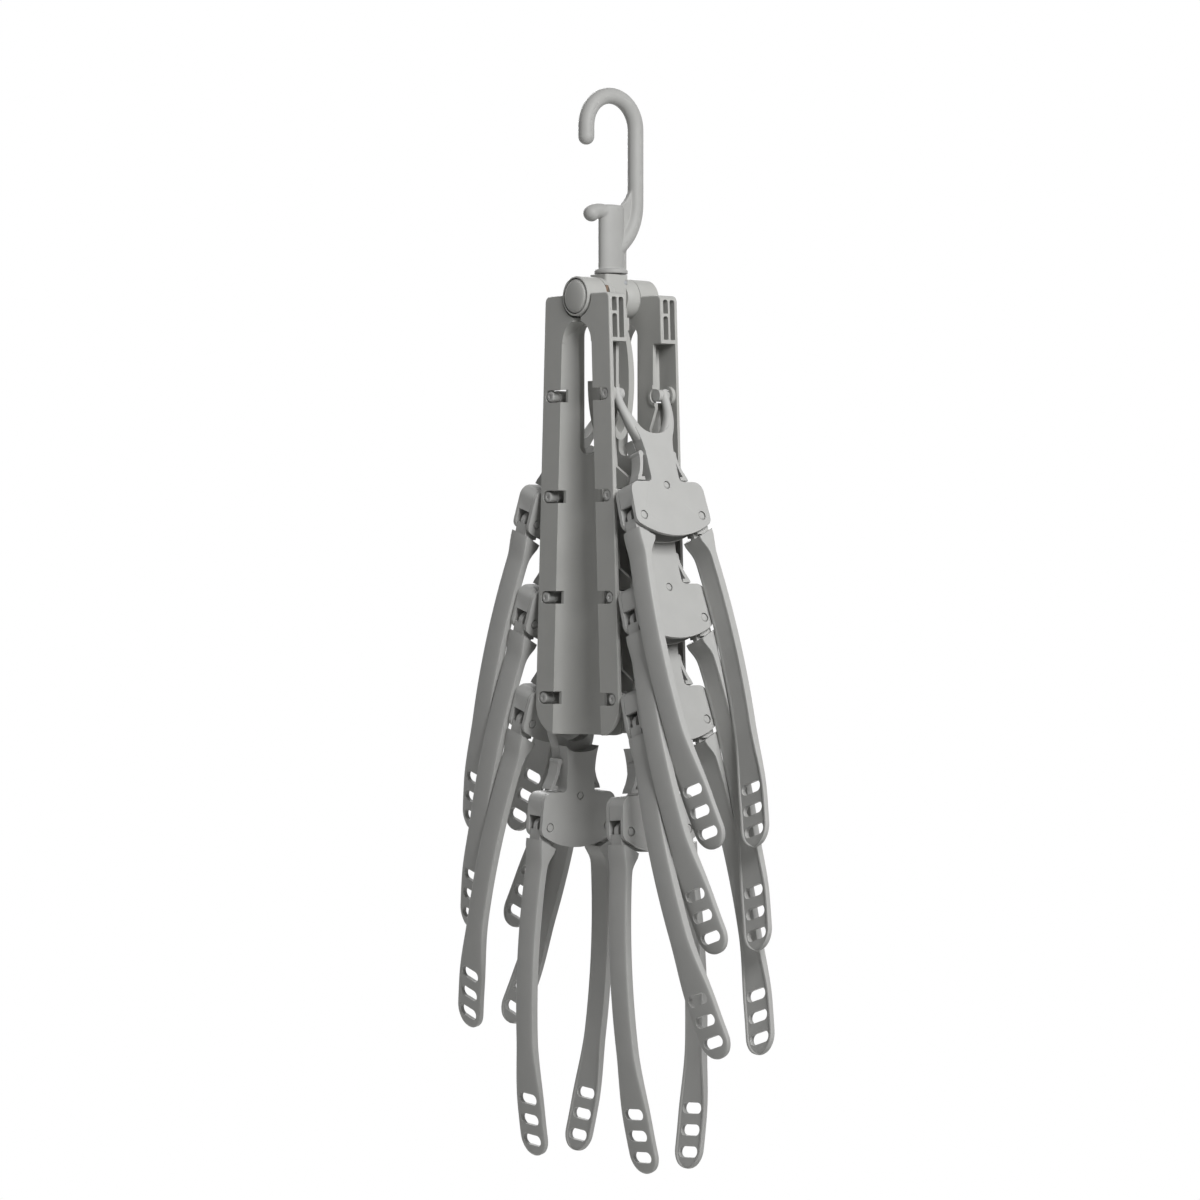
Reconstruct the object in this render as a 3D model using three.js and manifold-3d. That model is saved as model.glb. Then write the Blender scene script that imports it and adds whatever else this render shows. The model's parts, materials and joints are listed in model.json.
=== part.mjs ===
// A folding multi hanger: two moulded cheeks hang on a swivelling hook and carry
// eight hangers, four on each side, whose arms fold down and whose forks swing out.
// Millimetres, +Z up. The origin is the inside top of the hook, where it rests on a rail.
// X runs along the axle, front cheek at -X; Y runs across, right-hand hangers at -Y.
import * as THREE from "three";
import { mergeVertices } from "three/addons/utils/BufferGeometryUtils.js";
import Module from "manifold-3d";

const wasm = await Module();
wasm.setup();

// Hook
const WIRE_R = 4.5;
const CROOK_R = 18;
const CROOK_Z = WIRE_R - CROOK_R;
const TIP_Z = -19.5;
const STEM = { length: 16.5, width: 10, top: -56, bottom: -92, crown: 1.5, ribX: 10.4, ribThick: 3 };
const PEG = { r: 3.9, length: 13, x: -8, z: -60.2, droop: 0.12, knobR: 4.6, knobX: -14, knobZ: -61.4 };
const FLANGE = { r: 9.3, bottom: -94.6 };
const SWIVEL = { r: 4.5, bottom: -102.7, grooveR: 3, grooveTop: -97.9, grooveBottom: -101.1 };

// Hub and axle
const AXLE_Z = -108;
const AXLE_R = 4;
const HUB = { halfX: 9.7, halfY: 7.5, top: -95.2, bottom: -120, bossR: 11, bossX: 12 };
const DOWEL = { r: 1.2, x: 4.5, z: -99.5 };
const DETENT = { front: -11, back: -8, thick: 1.4, top: -101.8, bottom: -106 };
const LOWER_HOOK = { halfX: 8.2, halfZ: 31, z: -154, thick: 4, width: 16 };
const FIT = 0.3;

// Cheeks, given for the one at +X
const CHEEK = { inner: 12.5, outer: 25, top: -107, bottom: -350, wall: 2.2, flange: 2 };
const EYE = { r: 11, outer: 26.2, recessR: 10.3, recessX: 22.5 };
const FLAT_WIDTH = 15.5;
const GROOVE_DEPTH = 10.8;
const GROOVE_TOP = -121.3;
const SLOT = { half: 8, top: -122, bottom: -195 };
const CELLS = { top: -109.5, split: -118, bottom: -131.8, deep: 10, rib: 1.6 };
const CHANNEL_TOP = -133.8;

// Hangers
const PIN_Z = [-162.5, -218.3, -274.1, -329.9];
const REST_TILT = [18, 18, 18, 4].map(THREE.MathUtils.degToRad);
const PIN_INSET = 6;
const PIN_R = 3;
const BOSS_R = 5;
const PRONG = { inner: 15.2, outer: 22.2 };
const PLATE = { half: 27, thick: 14, shoulder: -53, side: -76, bottom: -84, skin: 2.2, sill: -66 };
const NECK = { half: 10, thick: 7, notch: -25, backTop: -28 };
const PIVOT = { x: 21, z: -72.4, postR: 2.3, knuckleR: 5.2, leaf: 1.5, blockTop: -76.5, block: 4.3 };
const SCREW = { z: -55, r: 2 };
const WING = { length: 186, bow: 9.25, inset: 6.5, half: 7.2, paddle: 8.7, paddleStart: 140 };
const WING_SLOT = { width: 10.8, height: 5.6, pitch: 11.8, count: 3, last: 177 };
const LEVER = { x: 11.9, z: -36.2, r: 1.7, front: -5, back: 2.4 };

const moulded = (hex) => new THREE.MeshStandardMaterial({ color: hex, roughness: 0.55, metalness: 0 });
const HOOK_GREY = moulded(0xa9a9a7);
const FRAME_GREY = moulded(0x8f8f8c);
const HANGER_GREY = moulded(0x9c9c9a);
const STEEL = new THREE.MeshStandardMaterial({ color: 0xb4b6b8, roughness: 0.35, metalness: 1 });
const BRASS = new THREE.MeshStandardMaterial({ color: 0x9a7658, roughness: 0.45, metalness: 0.8 });

const halfWidth = (z) => 28 - 0.0375 * (z + 130);
const pinY = (z) => halfWidth(z) - PIN_INSET;
const grooveHalf = (z) => halfWidth(z) - FLAT_WIDTH;

// Solids

function signedVolume(position, index) {
  const corners = [0, 1, 2].map(() => new THREE.Vector3());
  let sum = 0;
  for (let i = 0; i < index.length; i += 3) {
    corners.forEach((corner, k) => corner.fromBufferAttribute(position, index[i + k]));
    sum += corners[0].dot(corners[1].clone().cross(corners[2]));
  }
  return sum;
}

function solid(geometry) {
  const bare = new THREE.BufferGeometry();
  bare.setAttribute("position", geometry.getAttribute("position"));
  bare.setIndex(geometry.index);
  const merged = mergeVertices(bare, 1e-4);
  const triVerts = new Uint32Array(merged.index.array);
  if (signedVolume(merged.getAttribute("position"), triVerts) < 0) triVerts.reverse();
  const vertProperties = new Float32Array(merged.getAttribute("position").array);
  return new wasm.Manifold(new wasm.Mesh({ numProp: 3, vertProperties, triVerts }));
}

const join = (first, ...rest) => rest.reduce((sum, other) => sum.add(other), first);
const cut = (first, ...tools) => tools.reduce((left, tool) => left.subtract(tool), first);

function geometryOf(body) {
  const made = body.getMesh();
  const geometry = new THREE.BufferGeometry();
  geometry.setAttribute("position", new THREE.BufferAttribute(made.vertProperties, 3));
  geometry.setIndex(new THREE.BufferAttribute(made.triVerts, 1));
  return geometry;
}

function extrude(shape, depth, curveSegments) {
  return new THREE.ExtrudeGeometry(shape, { depth, curveSegments, bevelEnabled: false });
}

// An outline in Y and Z, made thick along X.
function slabX(shape, from, to, curveSegments = 4) {
  const turn = new THREE.Matrix4().makeBasis(
    new THREE.Vector3(0, 1, 0),
    new THREE.Vector3(0, 0, 1),
    new THREE.Vector3(1, 0, 0),
  );
  return solid(extrude(shape, to - from, curveSegments).applyMatrix4(turn).translate(from, 0, 0));
}

// An outline in X and Z, made thick along Y.
function slabY(shape, from, to, curveSegments = 4) {
  return solid(extrude(shape, to - from, curveSegments).rotateX(Math.PI / 2).translate(0, to, 0));
}

// An outline in X and Y, made thick along Z.
function slabZ(shape, from, to, curveSegments = 4) {
  return solid(extrude(shape, to - from, curveSegments).translate(0, 0, from));
}

function box(x0, x1, y0, y1, z0, z1) {
  const geometry = new THREE.BoxGeometry(x1 - x0, y1 - y0, z1 - z0);
  return solid(geometry.translate((x0 + x1) / 2, (y0 + y1) / 2, (z0 + z1) / 2));
}

function rodX(r, x0, x1, y, z, sides = 16) {
  const geometry = new THREE.CylinderGeometry(r, r, x1 - x0, sides).rotateZ(Math.PI / 2);
  return solid(geometry.translate((x0 + x1) / 2, y, z));
}

function rodY(r, y0, y1, x, z, sides = 8) {
  const geometry = new THREE.CylinderGeometry(r, r, y1 - y0, sides);
  return solid(geometry.translate(x, (y0 + y1) / 2, z));
}

function rodZ(r, z0, z1, sides = 20) {
  const geometry = new THREE.CylinderGeometry(r, r, z1 - z0, sides).rotateX(Math.PI / 2);
  return solid(geometry.translate(0, 0, (z0 + z1) / 2));
}

// A closed outline through corners [a, b, radius], with an arc at each corner that has a radius.
function outline(corners) {
  const shape = new THREE.Shape();
  corners.forEach(([a, b, r = 0], i) => {
    const here = new THREE.Vector2(a, b);
    if (r === 0) {
      if (i === 0) shape.moveTo(a, b);
      else shape.lineTo(a, b);
      return;
    }
    const back = new THREE.Vector2(...corners.at(i - 1)).sub(here).normalize();
    const ahead = new THREE.Vector2(...corners[(i + 1) % corners.length]).sub(here).normalize();
    const half = Math.acos(back.dot(ahead)) / 2;
    const start = here.clone().addScaledVector(back, r / Math.tan(half));
    const end = here.clone().addScaledVector(ahead, r / Math.tan(half));
    const centre = here.clone().addScaledVector(back.clone().add(ahead).normalize(), r / Math.sin(half));
    const angle = (p) => Math.atan2(p.y - centre.y, p.x - centre.x);
    shape.absarc(centre.x, centre.y, r, angle(start), angle(end), back.cross(ahead) > 0);
  });
  return shape;
}

// A skin through rings of equal point count, closed at both ends by the flat section given.
function loft(rings, section) {
  const count = section.length;
  const geometry = new THREE.BufferGeometry().setFromPoints(rings.flat());
  const index = [];
  for (let i = 0; i + 1 < rings.length; i++) {
    for (let j = 0; j < count; j++) {
      const a = i * count + j;
      const b = i * count + ((j + 1) % count);
      index.push(a, b, a + count, b, b + count, a + count);
    }
  }
  const last = (rings.length - 1) * count;
  for (const [a, b, c] of THREE.ShapeUtils.triangulateShape(section, [])) {
    index.push(c, b, a, last + a, last + b, last + c);
  }
  geometry.setIndex(index);
  return solid(geometry);
}

// Hook

function hookWire() {
  const arm = 0.5523 * CROOK_R;
  const top = CROOK_Z + CROOK_R;
  const at = (x, z) => new THREE.Vector3(x, 0, z);
  const route = new THREE.CurvePath();
  route.add(new THREE.LineCurve3(at(-CROOK_R, TIP_Z), at(-CROOK_R, CROOK_Z)));
  route.add(
    new THREE.CubicBezierCurve3(
      at(-CROOK_R, CROOK_Z),
      at(-CROOK_R, CROOK_Z + arm),
      at(-arm, top),
      at(0, top),
    ),
  );
  route.add(
    new THREE.CubicBezierCurve3(
      at(0, top),
      at(arm, top),
      at(CROOK_R, CROOK_Z + arm),
      at(CROOK_R, CROOK_Z),
    ),
  );
  route.add(new THREE.LineCurve3(at(CROOK_R, CROOK_Z), at(CROOK_R, -54)));
  route.add(new THREE.CubicBezierCurve3(at(CROOK_R, -54), at(CROOK_R, -66), at(12, -74), at(3, -80)));
  const section = new THREE.Shape().absarc(0, 0, WIRE_R, 0, 2 * Math.PI);
  const wire = new THREE.ExtrudeGeometry(section, { steps: 24, curveSegments: 5, extrudePath: route });
  const tip = new THREE.SphereGeometry(WIRE_R, 10, 6).translate(-CROOK_R, 0, TIP_Z);
  return join(solid(wire), solid(tip));
}

function mainHook() {
  const oval = new THREE.Shape().absellipse(0, 0, STEM.length / 2, STEM.width / 2, 0, 2 * Math.PI);
  const crown = new THREE.SphereGeometry(1, 16, 6).scale(STEM.length / 2, STEM.width / 2, STEM.crown);
  const web = outline([
    [5, -80],
    [16, -68],
    [CROOK_R, -46, 4],
    [5, -60],
  ]);
  const gusset = slabY(web, -1.5, 1.5);
  const rib = box(0, STEM.ribX, -STEM.ribThick / 2, STEM.ribThick / 2, STEM.bottom - 1, STEM.top - 4);
  const peg = new THREE.CylinderGeometry(PEG.r, PEG.r, PEG.length, 12);
  peg.rotateZ(Math.PI / 2 + PEG.droop).translate(PEG.x, 0, PEG.z);
  const knob = new THREE.SphereGeometry(PEG.knobR, 12, 8).translate(PEG.knobX, 0, PEG.knobZ);
  const groove = cut(
    rodZ(SWIVEL.r + 1, SWIVEL.grooveBottom, SWIVEL.grooveTop),
    rodZ(SWIVEL.grooveR, SWIVEL.grooveBottom - 1, SWIVEL.grooveTop + 1, 16),
  );
  const pin = cut(rodZ(SWIVEL.r, SWIVEL.bottom, FLANGE.bottom + 1), groove);
  return join(
    hookWire(),
    slabZ(oval, STEM.bottom - 1, STEM.top, 8),
    solid(crown.translate(0, 0, STEM.top)),
    gusset,
    rib,
    solid(peg),
    solid(knob),
    rodZ(FLANGE.r, FLANGE.bottom, STEM.bottom, 24),
    pin,
  );
}

// Hub

function lowerHook() {
  const { halfX, halfZ, z, thick, width } = LOWER_HOOK;
  const band = new THREE.Shape();
  const from = THREE.MathUtils.degToRad(80);
  band.absellipse(0, z, halfX + thick / 2, halfZ + thick / 2, from, -Math.PI, true);
  band.absellipse(0, z, halfX - thick / 2, halfZ - thick / 2, -Math.PI, from, false);
  const root = box(-1, 6.5, -width / 2, width / 2, HUB.bottom - 6, HUB.bottom + 1);
  return join(slabY(band, -width / 2, width / 2, 8), root);
}

function hubBlock() {
  const { halfX, halfY, top, bottom, bossR, bossX } = HUB;
  const plan = outline([
    [halfX, -halfY, 2],
    [halfX, halfY, 2],
    [-halfX, halfY, 2],
    [-halfX, -halfY, 2],
  ]);
  const body = join(
    slabZ(plan, bottom, top, 2),
    rodX(bossR, -bossX, -halfX + 1, 0, AXLE_Z, 28),
    rodX(bossR, halfX - 1, bossX, 0, AXLE_Z, 28),
    lowerHook(),
  );
  return cut(
    body,
    rodX(AXLE_R + FIT, -bossX - 1, bossX + 1, 0, AXLE_Z),
    rodZ(SWIVEL.r + FIT, SWIVEL.bottom - 0.6, top + 1),
    rodY(DOWEL.r + 0.1, -halfY - 1, halfY + 1, DOWEL.x, DOWEL.z, 12),
    detentPocket(0.2),
  );
}

// The detent sits in a small window of the front boss, on the side that faces right.
function detentPocket(gap) {
  const { front, back, top, bottom } = DETENT;
  return box(-HUB.bossX - gap, -HUB.halfX - gap / 2, front - gap, back + gap, bottom - gap, top + gap);
}

function detent() {
  const { back, thick, top, bottom } = DETENT;
  return box(-HUB.bossX + 0.2, -HUB.halfX - 0.2, back - thick, back, bottom + 0.1, top - 0.1);
}

// Cheeks

function grooveCut(extra) {
  const sides = 8;
  const ring = (z) => {
    const half = grooveHalf(z) + extra;
    const depth = GROOVE_DEPTH + extra;
    const arc = Array.from({ length: sides + 1 }, (_, k) => {
      const a = (Math.PI * k) / sides;
      return new THREE.Vector3(CHEEK.outer - depth * Math.sin(a), half * Math.cos(a), z);
    });
    const lip = [-half, half].map((y) => new THREE.Vector3(CHEEK.outer + 2, y, z));
    return [...arc, ...lip];
  };
  const top = ring(-100);
  const section = top.map((p) => new THREE.Vector2(p.x, p.y));
  const trough = loft([top, ring(CHEEK.bottom - 2)], section);
  const reach = 40;
  const arch = grooveHalf(GROOVE_TOP) + extra;
  const limit = outline([
    [reach, CHEEK.bottom - 2],
    [reach, GROOVE_TOP - arch],
    [arch, GROOVE_TOP - arch],
    [arch, GROOVE_TOP + extra, arch - 0.2],
    [-arch, GROOVE_TOP + extra, arch - 0.2],
    [-arch, GROOVE_TOP - arch],
    [-reach, GROOVE_TOP - arch],
    [-reach, CHEEK.bottom - 2],
  ]);
  return trough.intersect(slabX(limit, 0, 40, 2));
}

function sideChannel() {
  const floor = CHEEK.inner + CHEEK.flange;
  const roof = CHEEK.outer - CHEEK.wall;
  const open = box(floor, roof, -60, 60, CHEEK.bottom - 2, CHANNEL_TOP);
  return cut(open, grooveCut(1.8));
}

// Ribbed cells in the side of the cheek above the open channel; side is +1 or -1 along Y.
function sideCells(side) {
  const edge = halfWidth(CELLS.bottom) + 1;
  const floor = CHEEK.inner + CHEEK.flange;
  const roof = CHEEK.outer - CHEEK.wall;
  const middle = (floor + roof) / 2;
  const inner = halfWidth(CELLS.top) - CELLS.deep;
  const [y0, y1] = side > 0 ? [inner, edge] : [-edge, -inner];
  const rib = CELLS.rib / 2;
  return join(
    box(middle + rib, roof, y0, y1, CELLS.split + rib, CELLS.top),
    box(middle + rib, roof, y0, y1, CELLS.bottom, CELLS.split - rib),
    box(floor, middle - rib, y0, y1, CELLS.bottom, CELLS.top),
  );
}

// What one pin needs: its hole and window in the outer wall, and its hole in the inner flange.
function pinCuts(z, side) {
  const y = side * pinY(z);
  const wallEdge = side * (grooveHalf(z) - 2);
  const hole = PIN_R + FIT + 0.2;
  const [y0, y1] = side > 0 ? [wallEdge, y] : [y, wallEdge];
  return join(
    rodX(hole, CHEEK.outer - CHEEK.wall - 1, CHEEK.outer + 1, y, z, 8),
    box(CHEEK.outer - 4.5, CHEEK.outer + 1, y0, y1, z - hole, z + hole),
    rodX(BOSS_R + FIT, CHEEK.inner - 1, CHEEK.inner + CHEEK.flange + 0.5, y, z, 10),
  );
}

// Below each pin the inner flange is cut back so that the prong can leave the channel.
function flangeRelief(row, side) {
  const z = PIN_Z[row];
  const next = row + 1 < PIN_Z.length ? PIN_Z[row + 1] : CHEEK.bottom - 20;
  const lobe = BOSS_R + 2.4;
  const far = halfWidth(next) + 4;
  const corners = [
    [far, z - lobe],
    [pinY(z) + 1, z - lobe],
    [pinY(z) - 5, z - lobe - 11],
    [pinY(next) - 5, next + lobe + 9],
    [far, next + lobe],
  ].map(([y, height]) => [side * y, height]);
  return slabX(outline(corners), CHEEK.inner - 1, CHEEK.inner + CHEEK.flange + 0.2);
}

// The cheek at +X; the front one is the same piece turned half round.
function cheek() {
  const topHalf = halfWidth(CHEEK.top);
  const lowHalf = halfWidth(CHEEK.bottom);
  const face = outline([
    [-lowHalf, CHEEK.bottom, 17],
    [lowHalf, CHEEK.bottom, 17],
    [topHalf, CHEEK.top, 3.5],
    [-topHalf, CHEEK.top, 3.5],
  ]);
  const slot = outline([
    [-SLOT.half, SLOT.bottom, 5],
    [SLOT.half, SLOT.bottom, 5],
    [SLOT.half, SLOT.top, 7.5],
    [-SLOT.half, SLOT.top, 7.5],
  ]);
  const wallX = CHEEK.inner + 3;
  let body = cut(
    slabX(face, CHEEK.inner, CHEEK.outer, 3),
    grooveCut(0),
    sideChannel(),
    slabX(slot, CHEEK.inner - 1, CHEEK.outer + 1, 2),
    rodX(EYE.r + 1.3, wallX, CHEEK.outer + 1, 0, AXLE_Z, 20),
    box(wallX, CHEEK.outer + 1, -3.5, 3.5, GROOVE_TOP - 4, AXLE_Z - EYE.r),
  );
  for (const side of [1, -1]) {
    body = cut(body, sideCells(side));
    PIN_Z.forEach((z, row) => {
      body = cut(body, pinCuts(z, side), flangeRelief(row, side));
    });
  }
  const eye = rodX(EYE.r, CHEEK.inner - 0.2, EYE.outer, 0, AXLE_Z, 24);
  return cut(
    join(body, eye),
    rodX(AXLE_R + FIT, CHEEK.inner - 1, EYE.outer + 1, 0, AXLE_Z),
    rodX(EYE.recessR, EYE.recessX, EYE.outer + 1, 0, AXLE_Z, 24),
  );
}

// The cap in the eye at +X: a shallow dome.
function axleCap() {
  const r = EYE.recessR - FIT;
  const profile = [
    [0, 0],
    [r, 0],
    [r, 3.2],
    [r - 0.7, 3.8],
    [r * 0.6, 4.3],
    [0, 4.6],
  ].map(([a, b]) => new THREE.Vector2(a, b));
  const dome = new THREE.LatheGeometry(profile, 20).rotateZ(-Math.PI / 2);
  return solid(dome.translate(EYE.recessX + FIT, 0, AXLE_Z));
}

// Hanger pieces, in the hanger's own frame: pins on the X axis, outside towards -Y

function plateOutline() {
  const { half, shoulder, side, bottom } = PLATE;
  const sag = side - bottom;
  const r = (half * half + sag * sag) / (2 * sag);
  const spread = Math.asin(half / r);
  const shape = new THREE.Shape();
  shape.absarc(0, bottom + r, r, -Math.PI / 2 - spread, -Math.PI / 2 + spread, false);
  shape.lineTo(half - 0.8, shoulder - 6);
  shape.absarc(half - 6.8, shoulder - 6, 6, 0, Math.PI / 2, false);
  shape.lineTo(-half + 6.8, shoulder);
  shape.absarc(-half + 6.8, shoulder - 6, 6, Math.PI / 2, Math.PI, false);
  return shape;
}

function forkOutline() {
  const { half, notch } = NECK;
  const shape = new THREE.Shape();
  shape.moveTo(-half - 3, PLATE.shoulder);
  shape.lineTo(half + 3, PLATE.shoulder);
  shape.quadraticCurveTo(half, PLATE.shoulder, half, PLATE.shoulder + 3);
  shape.lineTo(half, -42);
  shape.quadraticCurveTo(half, -30, PRONG.outer, -15);
  shape.lineTo(PRONG.outer, 0);
  shape.lineTo(PRONG.inner, 0);
  shape.lineTo(PRONG.inner, -9);
  shape.quadraticCurveTo(12, notch, 0, notch);
  shape.quadraticCurveTo(-12, notch, -PRONG.inner, -9);
  shape.lineTo(-PRONG.inner, 0);
  shape.lineTo(-PRONG.outer, 0);
  shape.lineTo(-PRONG.outer, -15);
  shape.quadraticCurveTo(-half, -30, -half, -42);
  shape.lineTo(-half, PLATE.shoulder + 3);
  shape.quadraticCurveTo(-half, PLATE.shoulder, -half - 3, PLATE.shoulder);
  return shape;
}

function frontShell() {
  const face = -PLATE.thick / 2;
  const rimBack = PLATE.thick / 2 - PLATE.skin - FIT;
  const inside = outline([
    [-PLATE.half - 2, PLATE.bottom - 2],
    [PLATE.half + 2, PLATE.bottom - 2],
    [PLATE.half + 2, PLATE.sill],
    [PLATE.half - 2.8, PLATE.sill],
    [PLATE.half - 2.8, PLATE.shoulder - 5.6, 4],
    [-PLATE.half + 2.8, PLATE.shoulder - 5.6, 4],
    [-PLATE.half + 2.8, PLATE.sill],
    [-PLATE.half - 2, PLATE.sill],
  ]);
  let shell = cut(
    slabY(plateOutline(), face, rimBack, 3),
    slabY(inside, face + PLATE.skin, rimBack + 1, 1),
    rodY(SCREW.r + FIT, face - 1, rimBack + 1, 0, SCREW.z),
  );
  shell = join(shell, slabY(forkOutline(), face, face + NECK.thick, 3));
  for (const side of [1, -1]) {
    const span = (a, b) => (side > 0 ? [a, b] : [-b, -a]);
    shell = cut(
      shell,
      rodY(PIVOT.postR + FIT, face - 1, face + PLATE.skin + 1, side * PIVOT.x, PIVOT.z),
      rodY(LEVER.r + FIT, face - 1, rimBack + 1, side * LEVER.x, LEVER.z),
    );
    shell = join(
      shell,
      rodX(BOSS_R, ...span(CHEEK.inner + 0.3, PRONG.outer), 0, 0, 10),
      rodX(PIN_R, ...span(PRONG.outer - 1, CHEEK.outer - 0.3), 0, 0, 8),
    );
  }
  return shell;
}

function backShell() {
  const back = PLATE.thick / 2;
  const face = -back;
  const front = back - PLATE.skin;
  const tip = face + 0.2;
  const neck = outline([
    [-NECK.half, PLATE.shoulder - 2],
    [NECK.half, PLATE.shoulder - 2],
    [NECK.half, NECK.backTop, 5],
    [-NECK.half, NECK.backTop, 5],
  ]);
  const neckFront = face + NECK.thick + FIT;
  let shell = join(slabY(plateOutline(), front, back, 3), slabY(neck, neckFront, back, 2));
  const inside = NECK.half + 1;
  shell = cut(shell, box(-inside, inside, neckFront - 1, front, PLATE.bottom, PLATE.shoulder + FIT));
  shell = join(shell, rodY(SCREW.r, tip, front + 1, 0, SCREW.z));
  for (const side of [1, -1]) {
    shell = join(shell, rodY(PIVOT.postR, tip, front + 1, side * PIVOT.x, PIVOT.z));
  }
  return shell;
}

// A folding arm at +X, hanging down from its pivot: a channelled strap that bows out,
// then widens into a paddle with slots for straps.
function wing() {
  const { length, bow, inset, half, paddle, paddleStart } = WING;
  const drift = (u) => {
    const t = u / length;
    return 4 * bow * t * (1 - t) - inset * t;
  };
  const stations = [9, 24, 60, 100, paddleStart - 8, paddleStart + 6, 178, length];
  const widthAt = (u) => {
    const grown = THREE.MathUtils.smoothstep(u, paddleStart - 10, paddleStart + 5);
    const end = Math.max(0, (u - (length - 12)) / 12);
    return (half + (paddle - half) * grown) * Math.sqrt(1 - 0.88 * end * end);
  };
  const sectionAt = (u) => {
    const w = widthAt(u);
    const lip = Math.min(1.8, w / 3);
    const root = THREE.MathUtils.smoothstep(24 - u, 0, 15);
    const flat = THREE.MathUtils.smoothstep(u, paddleStart - 10, paddleStart + 5);
    const inner = -2.4 - 2.8 * root + 0.7 * flat;
    const outer = 2.4 - 0.6 * flat;
    const floor = inner + 0.4 + 2 * (1 - root) * (1 - flat);
    return [
      [-w, inner],
      [-w + lip, floor],
      [w - lip, floor],
      [w, inner],
      [w, outer - 1.1],
      [w - lip, outer],
      [-w + lip, outer],
      [-w, outer - 1.1],
    ];
  };
  const rings = stations.map((u) => {
    const slope = (drift(u + 0.5) - drift(u - 0.5)) / 1;
    const scale = 1 / Math.hypot(1, slope);
    const skew = u === stations[0] ? 0.35 : 0;
    return sectionAt(u).map(([across, v]) => {
      const x = PIVOT.x + drift(u) + v * scale;
      const z = PIVOT.z - u + v * (slope * scale + skew);
      return new THREE.Vector3(x, across, z);
    });
  });
  const section = sectionAt(stations[0]).map(([a, b]) => new THREE.Vector2(a, b));
  const { x, z, leaf, block, blockTop, knuckleR } = PIVOT;
  const root = z - stations[0] - 3.5;
  const tongue = join(
    rodY(knuckleR, -leaf, leaf, x, z, 10),
    box(x - 4.2, x + 4.2, -leaf, leaf, root, z),
    box(x - 4.2, x + 3.4, -block, block, root, blockTop),
  );
  let strap = join(loft(rings, section), tongue);
  strap = cut(strap, rodY(PIVOT.postR + FIT, -leaf - 1, leaf + 1, x, z));
  for (let k = 0; k < WING_SLOT.count; k++) {
    const u = WING_SLOT.last - k * WING_SLOT.pitch;
    const r = WING_SLOT.height / 2;
    const reach = WING_SLOT.width / 2;
    const at = PIVOT.z - u;
    const hole = new THREE.Shape();
    hole.absarc(reach - r, at, r, -Math.PI / 2, Math.PI / 2, false);
    hole.absarc(r - reach, at, r, Math.PI / 2, -Math.PI / 2, false);
    const middle = PIVOT.x + drift(u);
    strap = cut(strap, slabX(hole, middle - 8, middle + 8, 2));
  }
  return strap;
}

// A squeeze lever beside the neck at +X: a curved blade with a foot above the shoulder.
function lever() {
  const { x, z, r, front, back } = LEVER;
  const foot = PLATE.shoulder + 1.4;
  const blade = new THREE.Shape();
  blade.moveTo(x + r * 0.8, z);
  blade.lineTo(x - r * 0.6, z - 1);
  blade.quadraticCurveTo(x + 0.4, z - 8, x + 3, foot + 2);
  blade.lineTo(x + 1, foot + 2);
  blade.lineTo(x + 1, foot);
  blade.lineTo(x + 6.4, foot);
  blade.lineTo(x + 5.6, foot + 2.2);
  blade.quadraticCurveTo(x + 2, z - 8, x + r * 0.8, z);
  return join(slabY(blade, front, back, 3), rodY(r, front, back, x, z));
}

function mirrored(body) {
  return solid(geometryOf(body).scale(-1, 1, 1));
}

// Assembly

const hanger = new THREE.Group();
hanger.name = "folding_multi_hanger";

function add(parent, name, body, material) {
  const mesh = new THREE.Mesh(geometryOf(body.simplify(0.01)), material);
  mesh.geometry.computeVertexNormals();
  mesh.name = name;
  parent.add(mesh);
}

const halfTurn = new THREE.Matrix4().makeRotationZ(Math.PI);
const turned = (body) => solid(geometryOf(body).applyMatrix4(halfTurn));

add(hanger, "main_hook", mainHook(), HOOK_GREY);
add(hanger, "hub_block", hubBlock(), FRAME_GREY);
const dowelEnd = HUB.halfY - 0.3;
add(hanger, "swivel_dowel", rodY(DOWEL.r, -dowelEnd, dowelEnd, DOWEL.x, DOWEL.z, 12), STEEL);
add(hanger, "detent_insert", detent(), BRASS);
const axleEnd = EYE.recessX - 0.1;
add(hanger, "axle", rodX(AXLE_R, -axleEnd, axleEnd, 0, AXLE_Z, 24), STEEL);
const rearCheek = cheek();
add(hanger, "rear_cheek", rearCheek, FRAME_GREY);
add(hanger, "front_cheek", turned(rearCheek), FRAME_GREY);
const rearCap = axleCap();
add(hanger, "rear_axle_cap", rearCap, FRAME_GREY);
add(hanger, "front_axle_cap", turned(rearCap), FRAME_GREY);

const front = frontShell();
const back = backShell();
const arm = wing();
const clip = lever();
const pieces = {
  front_shell: front,
  back_shell: back,
  wing_a: arm,
  wing_b: mirrored(arm),
  lever_a: clip,
  lever_b: mirrored(clip),
};

for (const side of ["right", "left"]) {
  PIN_Z.forEach((z, row) => {
    const turn = new THREE.Group();
    turn.rotation.z = side === "right" ? 0 : Math.PI;
    const swing = new THREE.Group();
    swing.position.set(0, -pinY(z), z);
    swing.rotation.x = -REST_TILT[row];
    turn.add(swing);
    hanger.add(turn);
    for (const [piece, body] of Object.entries(pieces)) {
      add(swing, `${side}_hanger_${row + 1}_${piece}`, body, HANGER_GREY);
    }
  });
}

export default hanger;
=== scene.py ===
# %% [markdown]
# # A folding multi hanger in grey plastic
#
# Two long cheeks hang under a swivel hook and carry eight small hangers, whose arms fold down.
# Nearly everything is one grey plastic, so the looks come from shape: soft edges, thin ribs, dark
# gaps and the way light runs over long smooth arms.
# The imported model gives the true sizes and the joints. Its pieces are drawn with few flat sides,
# so here each visible piece is built again with round curves and soft edges, in the same place.

import json
import math

import bmesh
import bpy
from mathutils import Matrix, Vector


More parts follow.
